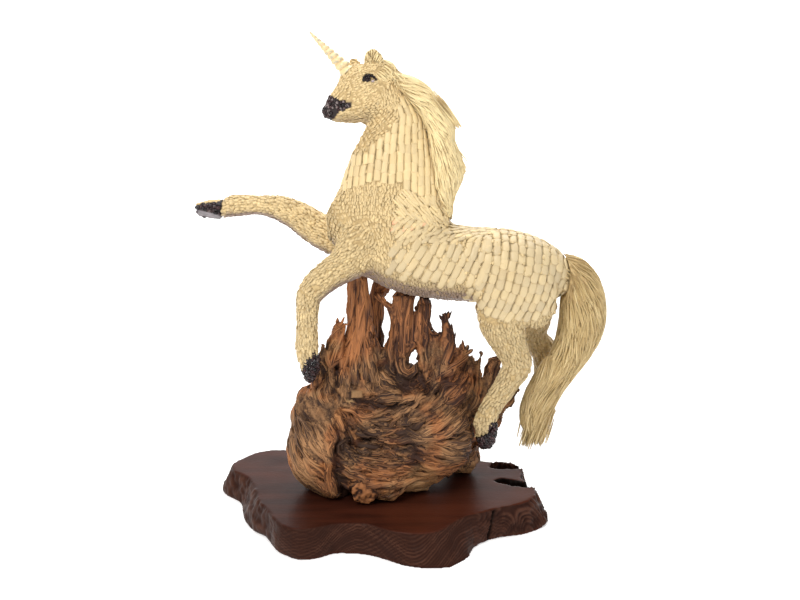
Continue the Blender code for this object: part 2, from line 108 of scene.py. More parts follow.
class Flow:
    """One output socket. Arithmetic on it adds Math nodes, and node() adds any other."""

    def __init__(self, tree, socket=None):
        self.tree, self.socket = tree, socket

    def node(self, kind, settings, inputs, output=0):
        """Adds a node of this kind, sets its settings, then its sockets' values or links."""
        made = self.tree.nodes.new("ShaderNode" + kind)
        for key, value in settings.items():
            setattr(made, key, value)
        for key, value in inputs.items():
            if isinstance(value, Flow):
                self.tree.links.new(value.socket, made.inputs[key])
            else:
                made.inputs[key].default_value = value
        return Flow(self.tree, made.outputs[output])

    def maths(self, operation, *values):
        return self.node("Math", {"operation": operation}, dict(enumerate(values)))

    def __add__(self, other):
        return self.maths("ADD", self, other)

    def __sub__(self, other):
        return self.maths("SUBTRACT", self, other)

    def __rsub__(self, other):
        return self.maths("SUBTRACT", other, self)

    def __mul__(self, other):
        return self.maths("MULTIPLY", self, other)

    def between(self, low, high):
        """0 at low, 1 at high and smooth between them."""
        settings = {"interpolation_type": "SMOOTHSTEP"}
        return self.node("MapRange", settings, {"Value": self, "From Min": low, "From Max": high})

    def mixed(self, first, second):
        """The first colour where this value is 0 and the second where it is 1."""
        inputs = {MIX_FACTOR: self, MIX_FIRST: first, MIX_SECOND: second}
        return self.node("Mix", {"data_type": "RGBA"}, inputs, MIX_RESULT)

    def noise(self, scale, detail):
        """Noise from 0 to 1 with this many lumps to a metre, and finer ones on top."""
        return self.node("TexNoise", {}, {"Vector": self, "Scale": scale, "Detail": detail})

    def attribute(self, name):
        """A number that a piece holds at each of its points."""
        return self.node("Attribute", {"attribute_name": name}, {}, "Fac")


def rgb(r, g, b):
    return (r, g, b, 1.0)


class Look:
    """A material whose surface starts as a Principled BSDF. The constants go to its sockets,
    and place is the point in Object coordinates."""

    def __init__(self, name, **constants):
        self.material = bpy.data.materials.new(name)
        self.material.use_nodes = True
        self.tree = self.material.node_tree
        self.surface = self.tree.nodes["Principled BSDF"]
        for key, value in constants.items():
            self.surface.inputs[key.replace("_", " ")].default_value = value
        self.place = Flow(self.tree).node("TexCoord", {}, {}, "Object")
        print("material:", name)

    def feed(self, **links):
        for key, value in links.items():
            self.tree.links.new(value.socket, self.surface.inputs[key.replace("_", " ")])

    def bump(self, height, distance, strength):
        inputs = {"Height": height, "Distance": distance, "Strength": strength}
        self.feed(Normal=self.place.node("Bump", {}, inputs))


# %% [markdown]
# ## Meshes as arrays
#
# All shapes here are arrays of points and faces. A CAD node arrives as loose triangles, so a
# copy is merged first, then a voxel remesh turns it into small even squares that can carry
# fine relief, and a few rounds of smoothing take out the stairs that voxels leave.

# %% Reading, remeshing and writing meshes
def unit(vectors):
    """The vectors divided by their lengths."""
    length = np.linalg.norm(vectors, axis=-1, keepdims=True)
    return vectors / np.maximum(length, 1e-12)


def arrays_of(mesh):
    """(points, quads as corner numbers, outward normals) of a mesh made of squares only."""
    points = np.empty(len(mesh.vertices) * 3, np.float32)
    normals = np.empty(len(mesh.vertices) * 3, np.float32)
    quads = np.empty(len(mesh.loops), np.int32)
    mesh.vertices.foreach_get("co", points)
    mesh.vertex_normals.foreach_get("vector", normals)
    mesh.loops.foreach_get("vertex_index", quads)
    return points.reshape(-1, 3).astype(float), quads.reshape(-1, 4), normals.reshape(-1, 3)


def dense(name, voxel, passes):
    """The node's surface as small squares of about the voxel's side, softened."""
    built = bmesh.new()
    built.from_mesh(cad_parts[name].data)
    bmesh.ops.remove_doubles(built, verts=built.verts, dist=1e-6)
    mesh = bpy.data.meshes.new(name + "_merged")
    built.to_mesh(mesh)
    built.free()
    helper = bpy.data.objects.new(name + "_helper", mesh)
    bpy.context.scene.collection.objects.link(helper)
    skin = helper.modifiers.new("One skin", "REMESH")
    skin.mode, skin.voxel_size = "VOXEL", voxel
    helper.modifiers.new("Soften", "SMOOTH").iterations = passes
    graph = bpy.context.evaluated_depsgraph_get()
    made = arrays_of(bpy.data.meshes.new_from_object(helper.evaluated_get(graph)))
    bpy.data.objects.remove(helper)
    print(f"{name}: {len(made[0])} points, {len(made[1])} squares of about {voxel / MM} mm")
    return made


def halves(quads):
    """Each square as two triangles."""
    return np.concatenate([quads[:, [0, 1, 2]], quads[:, [0, 2, 3]]])


def normals_of(points, faces):
    """Unit normals at the points: the sum of the normals of the faces around each."""
    across = np.cross(points[faces[:, 2]] - points[faces[:, 0]],
                      points[faces[:, -1]] - points[faces[:, 1]])
    total = np.zeros_like(points)
    for corner in faces.T:
        np.add.at(total, corner, across)
    return unit(total)


def piece(name, points, faces, look, slot, attributes=(), flat=None):
    """A visible object that rides on the one body. faces is one array of quads or triangles,
    or a list of such arrays. attributes are (name, value at each point). flat marks the faces
    that stay sharp."""
    groups = faces if isinstance(faces, list) else [faces]
    mesh = bpy.data.meshes.new(name)
    corners = np.concatenate([g.reshape(-1) for g in groups]).astype(np.int32)
    sizes = np.concatenate([np.full(len(g), g.shape[1]) for g in groups])
    starts = np.concatenate([[0], np.cumsum(sizes)[:-1]]).astype(np.int32)
    mesh.vertices.add(len(points))
    mesh.vertices.foreach_set("co", points.astype(np.float32).ravel())
    mesh.loops.add(len(corners))
    mesh.loops.foreach_set("vertex_index", corners)
    mesh.polygons.add(len(sizes))
    mesh.polygons.foreach_set("loop_start", starts)
    smooth = np.ones(len(sizes), bool) if flat is None else ~flat
    mesh.polygons.foreach_set("use_smooth", smooth)
    for title, values in attributes:
        layer = mesh.attributes.new(title, "FLOAT", "POINT")
        layer.data.foreach_set("value", np.asarray(values, np.float32))
    mesh.update(calc_edges=True)
    mesh.validate()
    mesh.materials.append(look.material)
    obj = bpy.data.objects.new(name, mesh)
    bpy.context.scene.collection.objects.link(obj)
    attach(obj, "root")
    print(f"{name}: {int((sizes - 2).sum())} triangles")
    return obj


# %% [markdown]
# ## Noise that can be asked for anywhere
#
# Relief needs a random field that is smooth and the same on each run. Value noise gives each
# corner of a cubic lattice a random number, from a mix of its whole coordinates, and blends
# the eight numbers around a point.

# %% Value noise on whole arrays
PRIMES = [np.uint64(prime) for prime in (73856093, 19349663, 83492791)]  # for x, y and z
STIR, STIR_AGAIN = np.uint64(0x9E3779B97F4A7C15), np.uint64(0xBF58476D1CE4E5B9)
SEED_STEP = 7919
FAR_OFF = 1000.0  # added to places, so that the lattice has no negative corners


def lattice_number(cells, seed):
    """A random number from 0 to 1 for each whole lattice corner: its coordinates times the
    primes, stirred by two products that overflow, and the top 24 bits of what comes out."""
    x, y, z = (cells[..., i].astype(np.uint64) for i in range(3))
    mixed = x * PRIMES[0] ^ y * PRIMES[1] ^ z * PRIMES[2]
    mixed = (mixed + np.uint64(seed * SEED_STEP)) * STIR
    mixed ^= mixed >> np.uint64(29)
    mixed *= STIR_AGAIN
    return (mixed >> np.uint64(40)).astype(float) / 2**24


def noise(points, size, seed):
    """Smooth noise from 0 to 1 whose lumps are about `size` across: the numbers at the eight
    corners around a point, each times its share, which follows t * t * (3 - 2 * t)."""
    at = points / size + FAR_OFF
    cell = np.floor(at).astype(np.int64)
    part = at - cell
    part = part * part * (3 - 2 * part)
    total = 0
    for corner in np.ndindex(2, 2, 2):
        share = np.prod(np.where(corner, part, 1 - part), axis=-1)
        total = total + share * lattice_number(cell + corner, seed)
    return total


def smooth_step(value, low, high):
    """0 below low, 1 above high, and an S curve between."""
    t = np.clip((value - low) / (high - low), 0, 1)
    return t * t * (3 - 2 * t)


# %% [markdown]
# ## Rows of shells
#
# The maker glued the shells in rows that follow the body. A row is a level line: the places
# on the skin where some field, such as the distance down a leg, has one value. Each triangle
# of the skin that a level crosses holds one short segment of a row. Linking each segment to
# the next one and summing lengths along the links gives the distance along the row, and so
# where each shell stands. Pointer doubling does the sums for all rows at once: each segment
# adds what the one before it knows, then looks twice as far back.

# %% Where the levels cross the skin
ON_A_LEVEL = 1e-5  # a corner this near to a level is moved off it, so no crossing is doubtful


def crossings(triangles, value):
    """For each triangle that a whole number of the value crosses: the level, the corners with
    the lone one first, the shares of the way from it to the other two at which the level
    lies, and True where the lone corner is the low one."""
    value = np.where(np.abs(value - np.round(value)) < ON_A_LEVEL, value + 2 * ON_A_LEVEL, value)
    corner = value[triangles]
    level = np.ceil(corner.min(1))
    crossed = (level <= corner.max(1)) & (np.ptp(corner, axis=1) < 1)
    triangles, corner, level = triangles[crossed], corner[crossed], level[crossed]
    above = corner > level[:, None]
    lone_is_high = above.sum(1) == 1
    lone = np.where(lone_is_high, above.argmax(1), (~above).argmax(1))
    order = (lone[:, None] + np.arange(3)) % 3
    a, b, c = np.take_along_axis(corner, order, axis=1).T
    corners = np.take_along_axis(triangles, order, axis=1)
    return level, corners, (level - a) / (b - a), (level - a) / (c - a), ~lone_is_high


# %% Segments linked into rows
DOUBLINGS = 18  # enough for rows of 2**18 segments


def along_rows(start_key, end_key, length):
    """(length of the row before each segment, length of its whole row). A segment follows
    the one that ends where it starts, and a closed row is cut at its first segment."""
    pick = np.arange(len(length))
    order = np.argsort(end_key)
    found = np.searchsorted(end_key[order], start_key).clip(max=len(order) - 1)
    before = order[found]
    before = np.where(end_key[before] == start_key, before, pick)
    least, look = pick.copy(), before.copy()
    for _ in range(DOUBLINGS):
        least = np.minimum(least, least[look])
        look = look[look]
    before = np.where((look != before[look]) & (least == pick), pick, before)
    sum_before = np.where(before == pick, 0.0, length[before])
    head = before.copy()
    for _ in range(DOUBLINGS):
        sum_before = sum_before + sum_before[head]
        head = head[head]
    return sum_before, np.bincount(head, length, len(pick))[head]


# %% Marks every so often along the rows
def rows_on(points, triangles, field, pitch, gap, loose=False):
    """Marks along the level lines field = whole number * pitch, about `gap` apart. Alternate
    rows are shifted by half a gap or, if loose, each row by a random share of it. Returns the
    marks' places, the corners of their triangles and their shares of those corners."""
    level, corners, to_b, to_c, flip = crossings(triangles, field / pitch)
    a, b, c = corners.T
    on_ab = points[a] + (points[b] - points[a]) * to_b[:, None]
    on_ac = points[a] + (points[c] - points[a]) * to_c[:, None]
    key_ab, key_ac = (np.minimum(a, o) * len(points) + np.maximum(a, o) for o in (b, c))
    start, end = np.where(flip[:, None], on_ac, on_ab), np.where(flip[:, None], on_ab, on_ac)
    start_key, end_key = np.where(flip, key_ac, key_ab), np.where(flip, key_ab, key_ac)
    length = np.linalg.norm(end - start, axis=1)
    sum_before, whole = along_rows(start_key, end_key, length)

    step = whole / np.maximum(np.round(whole / gap), 1)
    shift = (0.25 + 0.5 * level) % 1
    if loose:
        shift = lattice_number(np.stack([level, level, level], axis=1) + 1000, 4)
    first = np.ceil(sum_before / step - shift)
    last = np.ceil((sum_before + length) / step - shift)
    count = np.maximum(last - first, 0).astype(int)
    on = np.repeat(np.arange(len(length)), count)
    nth = np.arange(len(on)) - np.repeat(np.cumsum(count) - count, count)
    along = ((first[on] + nth + shift[on]) * step[on] - sum_before[on]) / length[on]
    along = along.clip(0, 1)[:, None]
    place = start[on] * (1 - along) + end[on] * along
    near_ab, near_ac = np.zeros((2, len(on), 3))
    near_ab[:, 0], near_ab[:, 1] = 1 - to_b[on], to_b[on]
    near_ac[:, 0], near_ac[:, 2] = 1 - to_c[on], to_c[on]
    from_ab = np.where(flip[on][:, None], along, 1 - along)
    return place, corners[on], near_ab * from_ab + near_ac * (1 - from_ab)


def at_marks(values, corners, shares):
    """Values at a surface's points, blended at marks inside its triangles."""
    shares = shares if values.ndim == 1 else shares[:, :, None]
    return (values[corners] * shares).sum(1)


TINY = 1e-20  # keeps a division by an empty area from failing


def slopes(points, triangles, field):
    """(direction in which the field grows along the surface, how fast it grows) at each
    point: the gradients of the triangles around it, averaged by their areas."""
    p, q, r = (points[triangles[:, k]] for k in range(3))
    across = np.cross(q - p, r - p)
    area = np.maximum((across**2).sum(1, keepdims=True), TINY)
    f = field[triangles][:, :, None]
    steep = (np.cross(across, r - q) * f[:, 0] + np.cross(across, p - r) * f[:, 1]
             + np.cross(across, q - p) * f[:, 2]) / area
    total, weight = np.zeros_like(points), np.zeros((len(points), 1))
    for k in range(3):
        np.add.at(total, triangles[:, k], steep * np.sqrt(area))
        np.add.at(weight, triangles[:, k], np.sqrt(area))
    total = total / np.maximum(weight, TINY)
    return unit(total), np.linalg.norm(total, axis=1)


def marked(points, out, triangles, field, pitch, gap, loose=False):
    """Marks on the level lines of the field: (places, outward normals, directions in which
    the field grows, how fast it grows). out holds the normals at the surface's points."""
    place, corners, shares = rows_on(points, triangles, field, pitch, gap, loose)
    growing, rate = slopes(points, triangles, field)
    return (place, unit(at_marks(out, corners, shares)), at_marks(growing, corners, shares),
            at_marks(rate, corners, shares))


# %% [markdown]
# ## One shell, copied thousands of times
#
# A shell is a small vaulted leaf: wide at the root or in the middle, arched across, and
# curling up towards its tip, so that it covers the root of the next one. A shape that is
# copied thousands of times has to be cheap, so a leaf has three or five points across and
# closes with a plain underside. Every copy gets its own size, turn, tilt and tone.

# %% The leaf
def leaf(profile, across, crown, lift, tip, power=2):
    """A closed leaf of unit length and width: (points, faces, marks of the sharp faces). Row i
    of the profile is (v, w, a): its share of the length, its width and its arch. The height is
    crown * a * (1 - |u| to the power) for u from -1 to 1 across, plus lift * v. With tip, the
    last row is one point."""
    v, width, arch = np.array(profile, float).T
    u = np.linspace(-1, 1, across)
    x = (width / 2)[:, None] * u
    y = np.repeat(v[:, None], across, axis=1)
    z = crown * arch[:, None] * (1 - np.abs(u) ** power) + lift * v[:, None]
    points = np.stack([x, y, z], axis=-1).reshape(-1, 3)
    rows = len(v)
    grid = np.arange(rows * across).reshape(rows, across)
    last = rows - 1 - tip
    top = np.stack([grid[:last, :-1], grid[:last, 1:], grid[1:last + 1, 1:],
                    grid[1:last + 1, :-1]], axis=-1).reshape(-1, 4)
    under = np.stack([grid[:last, -1], grid[:last, 0], grid[1:last + 1, 0],
                      grid[1:last + 1, -1]], axis=-1)
    fan = [grid[0, [k + 1, k, -1]] for k in range(across - 2)]
    if tip:
        end = grid[last + 1, 0]
        points = points[:end + 1]
        points[end] = (0, v[-1], lift * v[-1])
        top_tip = [(grid[last, k], grid[last, k + 1], end) for k in range(across - 1)]
        under_tip = [(grid[last, -1], grid[last, 0], end)]
    else:
        top_tip, under_tip = [], []
        fan += [grid[last, [k, k + 1, -1]] for k in range(across - 2)]
    triangles = np.array([*top_tip, *under_tip, *fan])
    sharp = np.concatenate([np.zeros(len(top), bool), np.ones(len(under), bool),
                            np.zeros(len(top_tip), bool),
                            np.ones(len(under_tip) + len(fan), bool)])
    return points, [np.concatenate([top, under]), triangles], sharp


# Rows of each leaf as (share of the length, width, height of the arch)
POINTED = leaf([(0, 0.7, 0.5), (0.35, 1.0, 1.0), (0.76, 0.86, 0.85), (1, 0, 0)],
               across=3, crown=0.2, lift=0.1, tip=True)
PETAL = leaf([(0, 0.86, 0.2), (0.3, 0.98, 0.85), (0.72, 1.04, 1.0), (0.9, 0.9, 0.75),
              (1, 0.5, 0.3)], across=5, crown=0.25, lift=0.05, tip=False, power=2.1)
COLUMN = leaf([(0, 0.96, 0.9), (0.3, 1.0, 0.98), (0.7, 1.0, 1.0), (0.92, 0.97, 0.86),
               (1, 0.86, 0.6)], across=5, crown=0.25, lift=0.03, tip=False, power=2.1)
BLADE = leaf([(0, 0.6, 0.5), (0.35, 1.0, 1.0), (0.75, 0.75, 0.9), (1, 0, 0)],
             across=5, crown=0.2, lift=0.12, tip=True)
SLIVER = leaf([(0, 0.6, 0.6), (0.3, 1.0, 1.0), (0.65, 0.9, 0.9), (0.88, 0.5, 0.5),
               (1, 0, 0)], across=3, crown=0.35, lift=0.05, tip=True)
CHIP = leaf([(0, 0.6, 0.2), (0.25, 1.0, 0.85), (0.7, 1.0, 0.95), (1, 0.55, 0.2)],
            across=5, crown=0.5, lift=0.0, tip=False)
print("triangles in a pointed shell:", 2 * len(POINTED[1][0]) + len(POINTED[1][1]))


# %% Copies of a leaf on a surface
def tree_of(points, faces):
    """A search tree that finds the nearest place on a surface."""
    return BVHTree.FromPolygons(points.tolist(), faces.tolist())


def nearest(tree, points):
    """(nearest places on the tree's surface, normals there, numbers of the faces)."""
    found = [tree.find_nearest(point) for point in points.tolist()]
    return tuple(np.array([f[i] for f in found]) for i in range(3))


def lay(template, place, way, normal, width, length, height, turn=0.0, tilt=0.0, tree=None):
    """Copies of the template on the surface. Local x, y, z become across, along and outward,
    scaled by width, length and height. turn spins a copy about the normal, tilt raises its
    tip, both as slopes. With a tree, each row of the copy is moved to stand on its surface.
    Returns points, faces, sharp marks and each point's share along."""
    points, groups, sharp = template
    n = len(place)
    normal = unit(normal)
    way = unit(way - (way * normal).sum(1, keepdims=True) * normal)
    side = np.cross(way, normal)
    way = unit(way + side * np.broadcast_to(turn, n)[:, None])
    side = unit(np.cross(way, normal))
    wide, long, high = (np.broadcast_to(s, n)[:, None, None] for s in (width, length, height))
    rise = points[None, :, 2:3] * high + points[None, :, 1:2] * long * (
        np.broadcast_to(tilt, n)[:, None, None])
    foot = place[:, None] + points[None, :, 1:2] * long * way[:, None]
    out = np.broadcast_to(normal[:, None], foot.shape).copy()
    if tree:
        for v in np.unique(points[:, 1])[1:]:
            row = points[:, 1] == v
            at, up, _ = nearest(tree, foot[:, row.argmax()])
            foot[:, row] = at[:, None]
            out[:, row] = up[:, None]
    made = foot + points[None, :, 0:1] * wide * side[:, None] + rise * out
    step = (np.arange(n) * len(points))[:, None, None]
    faces = [(g[None] + step).reshape(-1, g.shape[1]) for g in groups]
    counts = [len(g) for g in groups]
    marks = np.concatenate([np.tile(sharp[:counts[0]], n), np.tile(sharp[counts[0]:], n)])
    return made.reshape(-1, 3), faces, marks, np.tile(points[:, 1], n)


# %% Gathering copies into one piece
class Bed:
    """A gathering of laid shells that become one piece."""

    def __init__(self):
        self.points, self.quads, self.triangles, self.marks = [], [], [], ([], [])
        self.values = {"along": [], "tone": [], "warm": []}
        self.size, self.copies = 0, 0

    def add(self, laid, tone, warm):
        """tone and warm hold one number for each copy."""
        points, (quads, triangles), marks, along = laid
        each = len(points) // len(tone)
        self.points.append(points)
        self.quads.append(quads + self.size)
        self.triangles.append(triangles + self.size)
        self.marks[0].append(marks[:len(quads)])
        self.marks[1].append(marks[len(quads):])
        self.values["along"].append(along)
        self.values["tone"].append(np.repeat(tone, each))
        self.values["warm"].append(np.repeat(warm, each))
        self.size += len(points)
        self.copies += len(tone)

    def finish(self, name, look, slot):
        faces = [np.concatenate(self.quads), np.concatenate(self.triangles)]
        flat = np.concatenate([*self.marks[0], *self.marks[1]])
        values = [(key, np.concatenate(value)) for key, value in self.values.items()]
        print(f"{name}: {self.copies} shells")
        return piece(name, np.concatenate(self.points), faces, look, slot, values, flat)


# %% [markdown]
# ## Shell looks
#
# Cream shell is a satin, slightly waxy material: pale at the raised tip, and browner at the
# root, where glue and dust settle and where painted shade stands for the shadow of the shell
# above. It is a little different from one shell to the next, and warmer on the head and neck
# than on the flank. A few shells high on the back have rosy rims, and those that face down
# under the belly are painted lavender and darker, as shade. One recipe with three sets of
# colours makes all of them. The tone, the place along the shell and the warmth, which also
# carries that painted shade, come from attributes that the laying writes on every point, so
# that no two shells need a material of their own.

# %% Cream shells and the glue bed
# Painted shade: the colour that shells facing down are mixed towards
LAVENDER_SHADE = (0.26, 0.185, 0.155)
ROSE = (0.76, 0.38, 0.22)


def shell_look(name, pale, warm, dark, depth, roughness):
    """A cream shell. The attribute warm runs from pale at 0 to warm at 1, down to lavender
    at -1, a painted shade for shells that face down, and up to a rosy rim at 2. depth is how
    much darker the root is: painted shade under the shell before it, together with glue and dust."""
    look = Look(name, Roughness=roughness, Coat_Weight=0.08, Coat_Roughness=0.3)
    along, tone = look.place.attribute("along"), look.place.attribute("tone")
    warmth = look.place.attribute("warm")
    base = warmth.mixed(rgb(*pale), rgb(*warm))
    # Below 0 the colour goes to lavender: painted shade on shells that face down
    base = (warmth * -1.0).mixed(base, rgb(*LAVENDER_SHADE))
    rosy = warmth.between(1.0, 2.0) * along.between(0.2, 1.0) * 0.85
    base = rosy.mixed(base, rgb(*ROSE))
    stain = look.place.noise(900, 2)
    # The darker root is painted shade under the shell before it, with glue and dust; tone and
    # stain are the shells' own
    shade = along.between(0.7, 0.0) * depth + (1 - tone) * 0.4 + (stain - 0.5) * 0.2
    base = shade.between(0.0, 1.0).mixed(base, rgb(*dark))
    look.feed(Base_Color=base)
    look.bump(look.place.noise(1400, 2), 0.0003, 0.3)
    return look


CREAM = shell_look("cream shell", (0.55, 0.44, 0.265), (0.80, 0.615, 0.32),
                   (0.44, 0.30, 0.14), 0.08, 0.45)
FINE_CREAM = shell_look("fine cream shell", (0.54, 0.41, 0.215), (0.86, 0.65, 0.335),
                        (0.42, 0.28, 0.12), 0.25, 0.5)
STRAW = shell_look("sliver shell", (0.53, 0.38, 0.165), (0.97, 0.80, 0.45),
                   (0.30, 0.18, 0.06), 0.4, 0.42)

GLUE = Look("glue bed", Roughness=0.75)
setting = GLUE.place.noise(300, 3).between(0.3, 0.7).mixed(
    rgb(0.42, 0.29, 0.13), rgb(0.58, 0.42, 0.20))
GLUE.feed(Base_Color=GLUE.place.attribute("dark").mixed(setting, rgb(0.02, 0.012, 0.012)))

# %% [markdown]
# ## The body's zones
#
# The unicorn's skin is one remeshed copy of its CAD solid, sunk by the thickness of a shell,
# so the finished figure keeps its size. Each point of it belongs to the limb whose axis is
# nearest in units of the limb's own radius, and the distance along that axis is the field
# whose levels are the rows. Nearby stretches of the axis are averaged, so that rows turn
# smoothly round a knee.

# %% The skin, with a hollow in the near ear
SUNK = 1.3 * MM
EAR_X, EAR_Z = -0.009, 0.533  # the middle of the hollow
skin_points, skin_quads, skin_normals = dense("unicorn_body", 2.0 * MM, 4)
skin = halves(skin_quads)
skin_points = skin_points - SUNK * skin_normals
cup = np.exp(-((skin_points[:, 0] - EAR_X) / 0.004) ** 2
             - ((skin_points[:, 2] - EAR_Z) / 0.007) ** 2)
cup = cup * (skin_points[:, 1] < 0.012) * (skin_points[:, 2] > 0.524)
skin_points[:, 1] += 3.0 * MM * cup

# %% Limb axes and the distance along them
# Axis points of each limb from the root down, in mm: x, y, z, radius
AXES = {
    "head": ((16, 25, 510, 20), (-11, 25, 496, 20), (-24, 25, 490, 18), (-41, 22, 481, 14),
             (-55, 19, 475, 9)),
    "neck": ((10, 25, 500, 20), (19, 25, 471, 25), (17, 25, 449, 31), (15, 25, 421, 38),
             (13, 25, 388, 43), (9, 25, 359, 45), (15, 25, 318, 48)),
    "barrel": ((-34, 25, 340, 26), (6, 25, 327, 40), (69, 25, 306, 43), (138, 25, 300, 42),
               (190, 25, 291, 36), (204, 25, 277, 18)),
    "fore_left": ((-16, 5, 334, 26), (-31, 0, 314, 22), (-44, -3, 304, 17), (-61, -5, 293, 16),
                  (-77, -7, 277, 14), (-81, -7, 262, 13), (-82, -7, 238, 12),
                  (-83, -7, 209, 13), (-80, -7, 195, 12), (-80, -7, 180, 10)),
    "fore_right": ((-33, 45, 326, 26), (-53, 51, 329, 20), (-73, 55, 337, 17),
                   (-90, 57, 349, 16), (-107, 57, 358, 15), (-122, 57, 363, 14),
                   (-140, 57, 365, 12), (-157, 57, 365, 12), (-171, 57, 364, 12),
                   (-186, 57, 361, 10)),
    "hind_left": ((154, 5, 302, 30), (151, -1, 266, 30), (140, -5, 244, 24), (145, -7, 221, 18),
                  (154, -7, 203, 16), (157, -7, 190, 14), (147, -7, 171, 13),
                  (135, -7, 151, 12), (125, -7, 134, 12), (122, -7, 118, 12)),
    "hind_right": ((169, 45, 288, 28), (179, 51, 252, 26), (185, 55, 230, 18),
                   (183, 57, 208, 15), (198, 59, 184, 14), (197, 59, 157, 12),
                   (195, 59, 128, 12), (194, 59, 113, 13), (193, 59, 96, 12)),
}


def along_axis(points, axis):
    """(distance along the axis, distance from it in radii) of each point. For each stretch
    the point's foot is clamped to the stretch, except that the two ends run on. The stretches
    are averaged with weights 1 / (distance to the fourth power), held finite by 2 mm."""
    axis = np.array(axis) * MM
    a, b = axis[:-1], axis[1:]
    way = b[:, :3] - a[:, :3]
    length = np.linalg.norm(way, axis=1)
    before = np.concatenate([[0], np.cumsum(length)[:-1]])
    share = ((points[:, None] - a[None, :, :3]) * way).sum(2) / length**2
    held = share.clip(0, 1)
    foot = a[None, :, :3] + held[:, :, None] * way
    away = np.linalg.norm(points[:, None] - foot, axis=2)
    radius = a[None, :, 3] * (1 - held) + b[None, :, 3] * held
    share[:, 1:] = share[:, 1:].clip(0, None)
    share[:, :-1] = share[:, :-1].clip(None, 1)
    weight = 1 / (away**4 + (2 * MM)**4)
    run = ((before + share * length) * weight).sum(1) / weight.sum(1)
    return run, (away / radius).min(1)


runs, reach = {}, {}
for limb, axis in AXES.items():
    runs[limb], reach[limb] = along_axis(skin_points, axis)
limbs = list(AXES)
owner = np.argmin(np.stack([reach[limb] for limb in limbs]), axis=0)
for number, limb in enumerate(limbs):
    print(f"{limb}: {int((owner == number).sum())} points")

# %% [markdown]
# ## Zones drawn on the side
#
# The columns of petals cover zones with clear outlines. The outlines are drawn as the camera
# sees them, on the upright plane y = 0. A point of the skin, or of its far side mirrored to
# the near side, lies in a zone if the line from the camera to it passes through the outline.

# %% Outlines of the zones, in mm on the plane y = 0
ZONES = {
    "fan": ((20, 382), (30, 393), (38, 389), (50, 383), (64, 382), (67, 378), (87, 364),
            (75, 354), (56, 359), (36, 366), (21, 364)),
    "neck": ((-45, 435), (-28, 431), (-14, 436), (-1, 443), (12, 455), (23, 473), (24, 490),
             (28, 495), (37, 486), (48, 476), (59, 462), (70, 446), (72, 424), (72, 392),
             (72, 362), (51, 369), (37, 379), (29, 393), (21, 400), (-1, 401), (-14, 400),
             (-38, 398), (-62, 389), (-62, 413)),
    "spine": ((19, 364), (36, 366), (56, 359), (75, 354), (92, 361), (125, 355), (133, 344),
              (120, 340), (101, 337), (80, 336), (56, 336), (36, 336), (21, 335)),
    "barrel": ((21, 337), (36, 338), (56, 338), (80, 338), (101, 340), (121, 342), (121, 306),
               (110, 286), (93, 283), (74, 288), (59, 293), (41, 294), (19, 300), (7, 309),
               (19, 326)),
    "haunch": ((122, 351), (128, 366), (168, 366), (192, 350), (216, 328), (220, 276),
               (205, 262), (189, 254), (173, 245), (162, 244), (132, 245), (114, 255),
               (100, 267), (96, 279), (111, 288), (121, 309), (122, 329)),
    "muzzle": ((-66, 497), (-49, 492), (-42, 488), (-30, 485), (-31, 481), (-38, 478),
               (-45, 475), (-52, 466), (-66, 466), (-70, 485)),
    "jaw": ((-54, 462), (-45, 474), (-30, 482), (-7, 485), (14, 480), (21, 468), (10, 455),
            (-3, 444), (-16, 438), (-30, 432), (-42, 446), (-47, 455)),
    "hoof": ((-76, 204), (-70, 203), (-64, 195), (-66, 185), (-70, 173), (-77, 165), (-86, 169),
             (-92, 178), (-90, 185), (-85, 194), (-81, 200)),
    "hind_hoof": ((127, 117), (133, 121), (139, 114), (139, 105), (135, 96), (128, 86),
                  (123, 79), (116, 86), (111, 97), (115, 102), (122, 103), (126, 108)),
}


def seen_from_camera(points):
    """(x, z) in mm where the line from the camera to each point crosses the plane y = 0.
    Points beyond the midplane are first mirrored to the near side."""
    near = points.copy()
    near[:, 1] = np.minimum(near[:, 1], 2 * MIDPLANE - near[:, 1])
    share = -EYE[1] / (near[:, 1] - EYE[1])
    return (EYE[[0, 2]] + (near[:, [0, 2]] - EYE[[0, 2]]) * share[:, None]) / MM


def inside(place, outline):
    """True where a place lies in the outline: a line to its right crosses it an odd number
    of times."""
    a = np.array(outline, float)
    b = np.roll(a, -1, axis=0)
    x, y = place[:, 0:1], place[:, 1:2]
    between = (a[:, 1] > y) != (b[:, 1] > y)
    slant = np.where(a[:, 1] == b[:, 1], 1, b[:, 1] - a[:, 1])
    cross_x = a[:, 0] + (y - a[:, 1]) / slant * (b[:, 0] - a[:, 0])
    return (between & (x < cross_x)).sum(1) % 2 == 1


# %% The zone of each triangle
centres = skin_points[skin].mean(1)
seen = seen_from_camera(centres)
triangle_owner = owner[skin[:, 0]]
limb_number = {limb: number for number, limb in enumerate(limbs)}
torso = triangle_owner <= limb_number["barrel"]
hind = np.isin(triangle_owner, [limb_number["hind_left"], limb_number["hind_right"]])
zone_of = np.full(len(skin), "", "U12")
for zone, outline in ZONES.items():
    allowed = torso | hind if zone == "haunch" else torso
    if zone in ("muzzle", "jaw"):
        allowed = allowed & (centres[:, 0] < 0.03)
    if "hoof" in zone:
        allowed = triangle_owner == limb_number["hind_left" if "hind" in zone else "fore_left"]
    zone_of[inside(seen, outline) & allowed & (zone_of == "")] = zone
ears = ((triangle_owner <= limb_number["neck"]) & (centres[:, 2] > 0.5265)
        & (centres[:, 0] > -0.036) & (centres[:, 0] < 0.008))
zone_of[ears] = "ears"
print({zone: int((zone_of == zone).sum()) for zone in [*ZONES, "ears"]})

# %% [markdown]
# ## Columns of petals
#
# On the neck, flank and haunch the level lines are the columns themselves, so the petals
# point along the line and the field measures across the columns. On the neck the field is the
# length of the arc from the middle of the side, so the columns stay nearly parallel, and the
# outer ones end where the neck narrows. Flank columns lie in planes that all pass high behind
# the withers, and haunch columns are upright lines that bend forward as they go down.

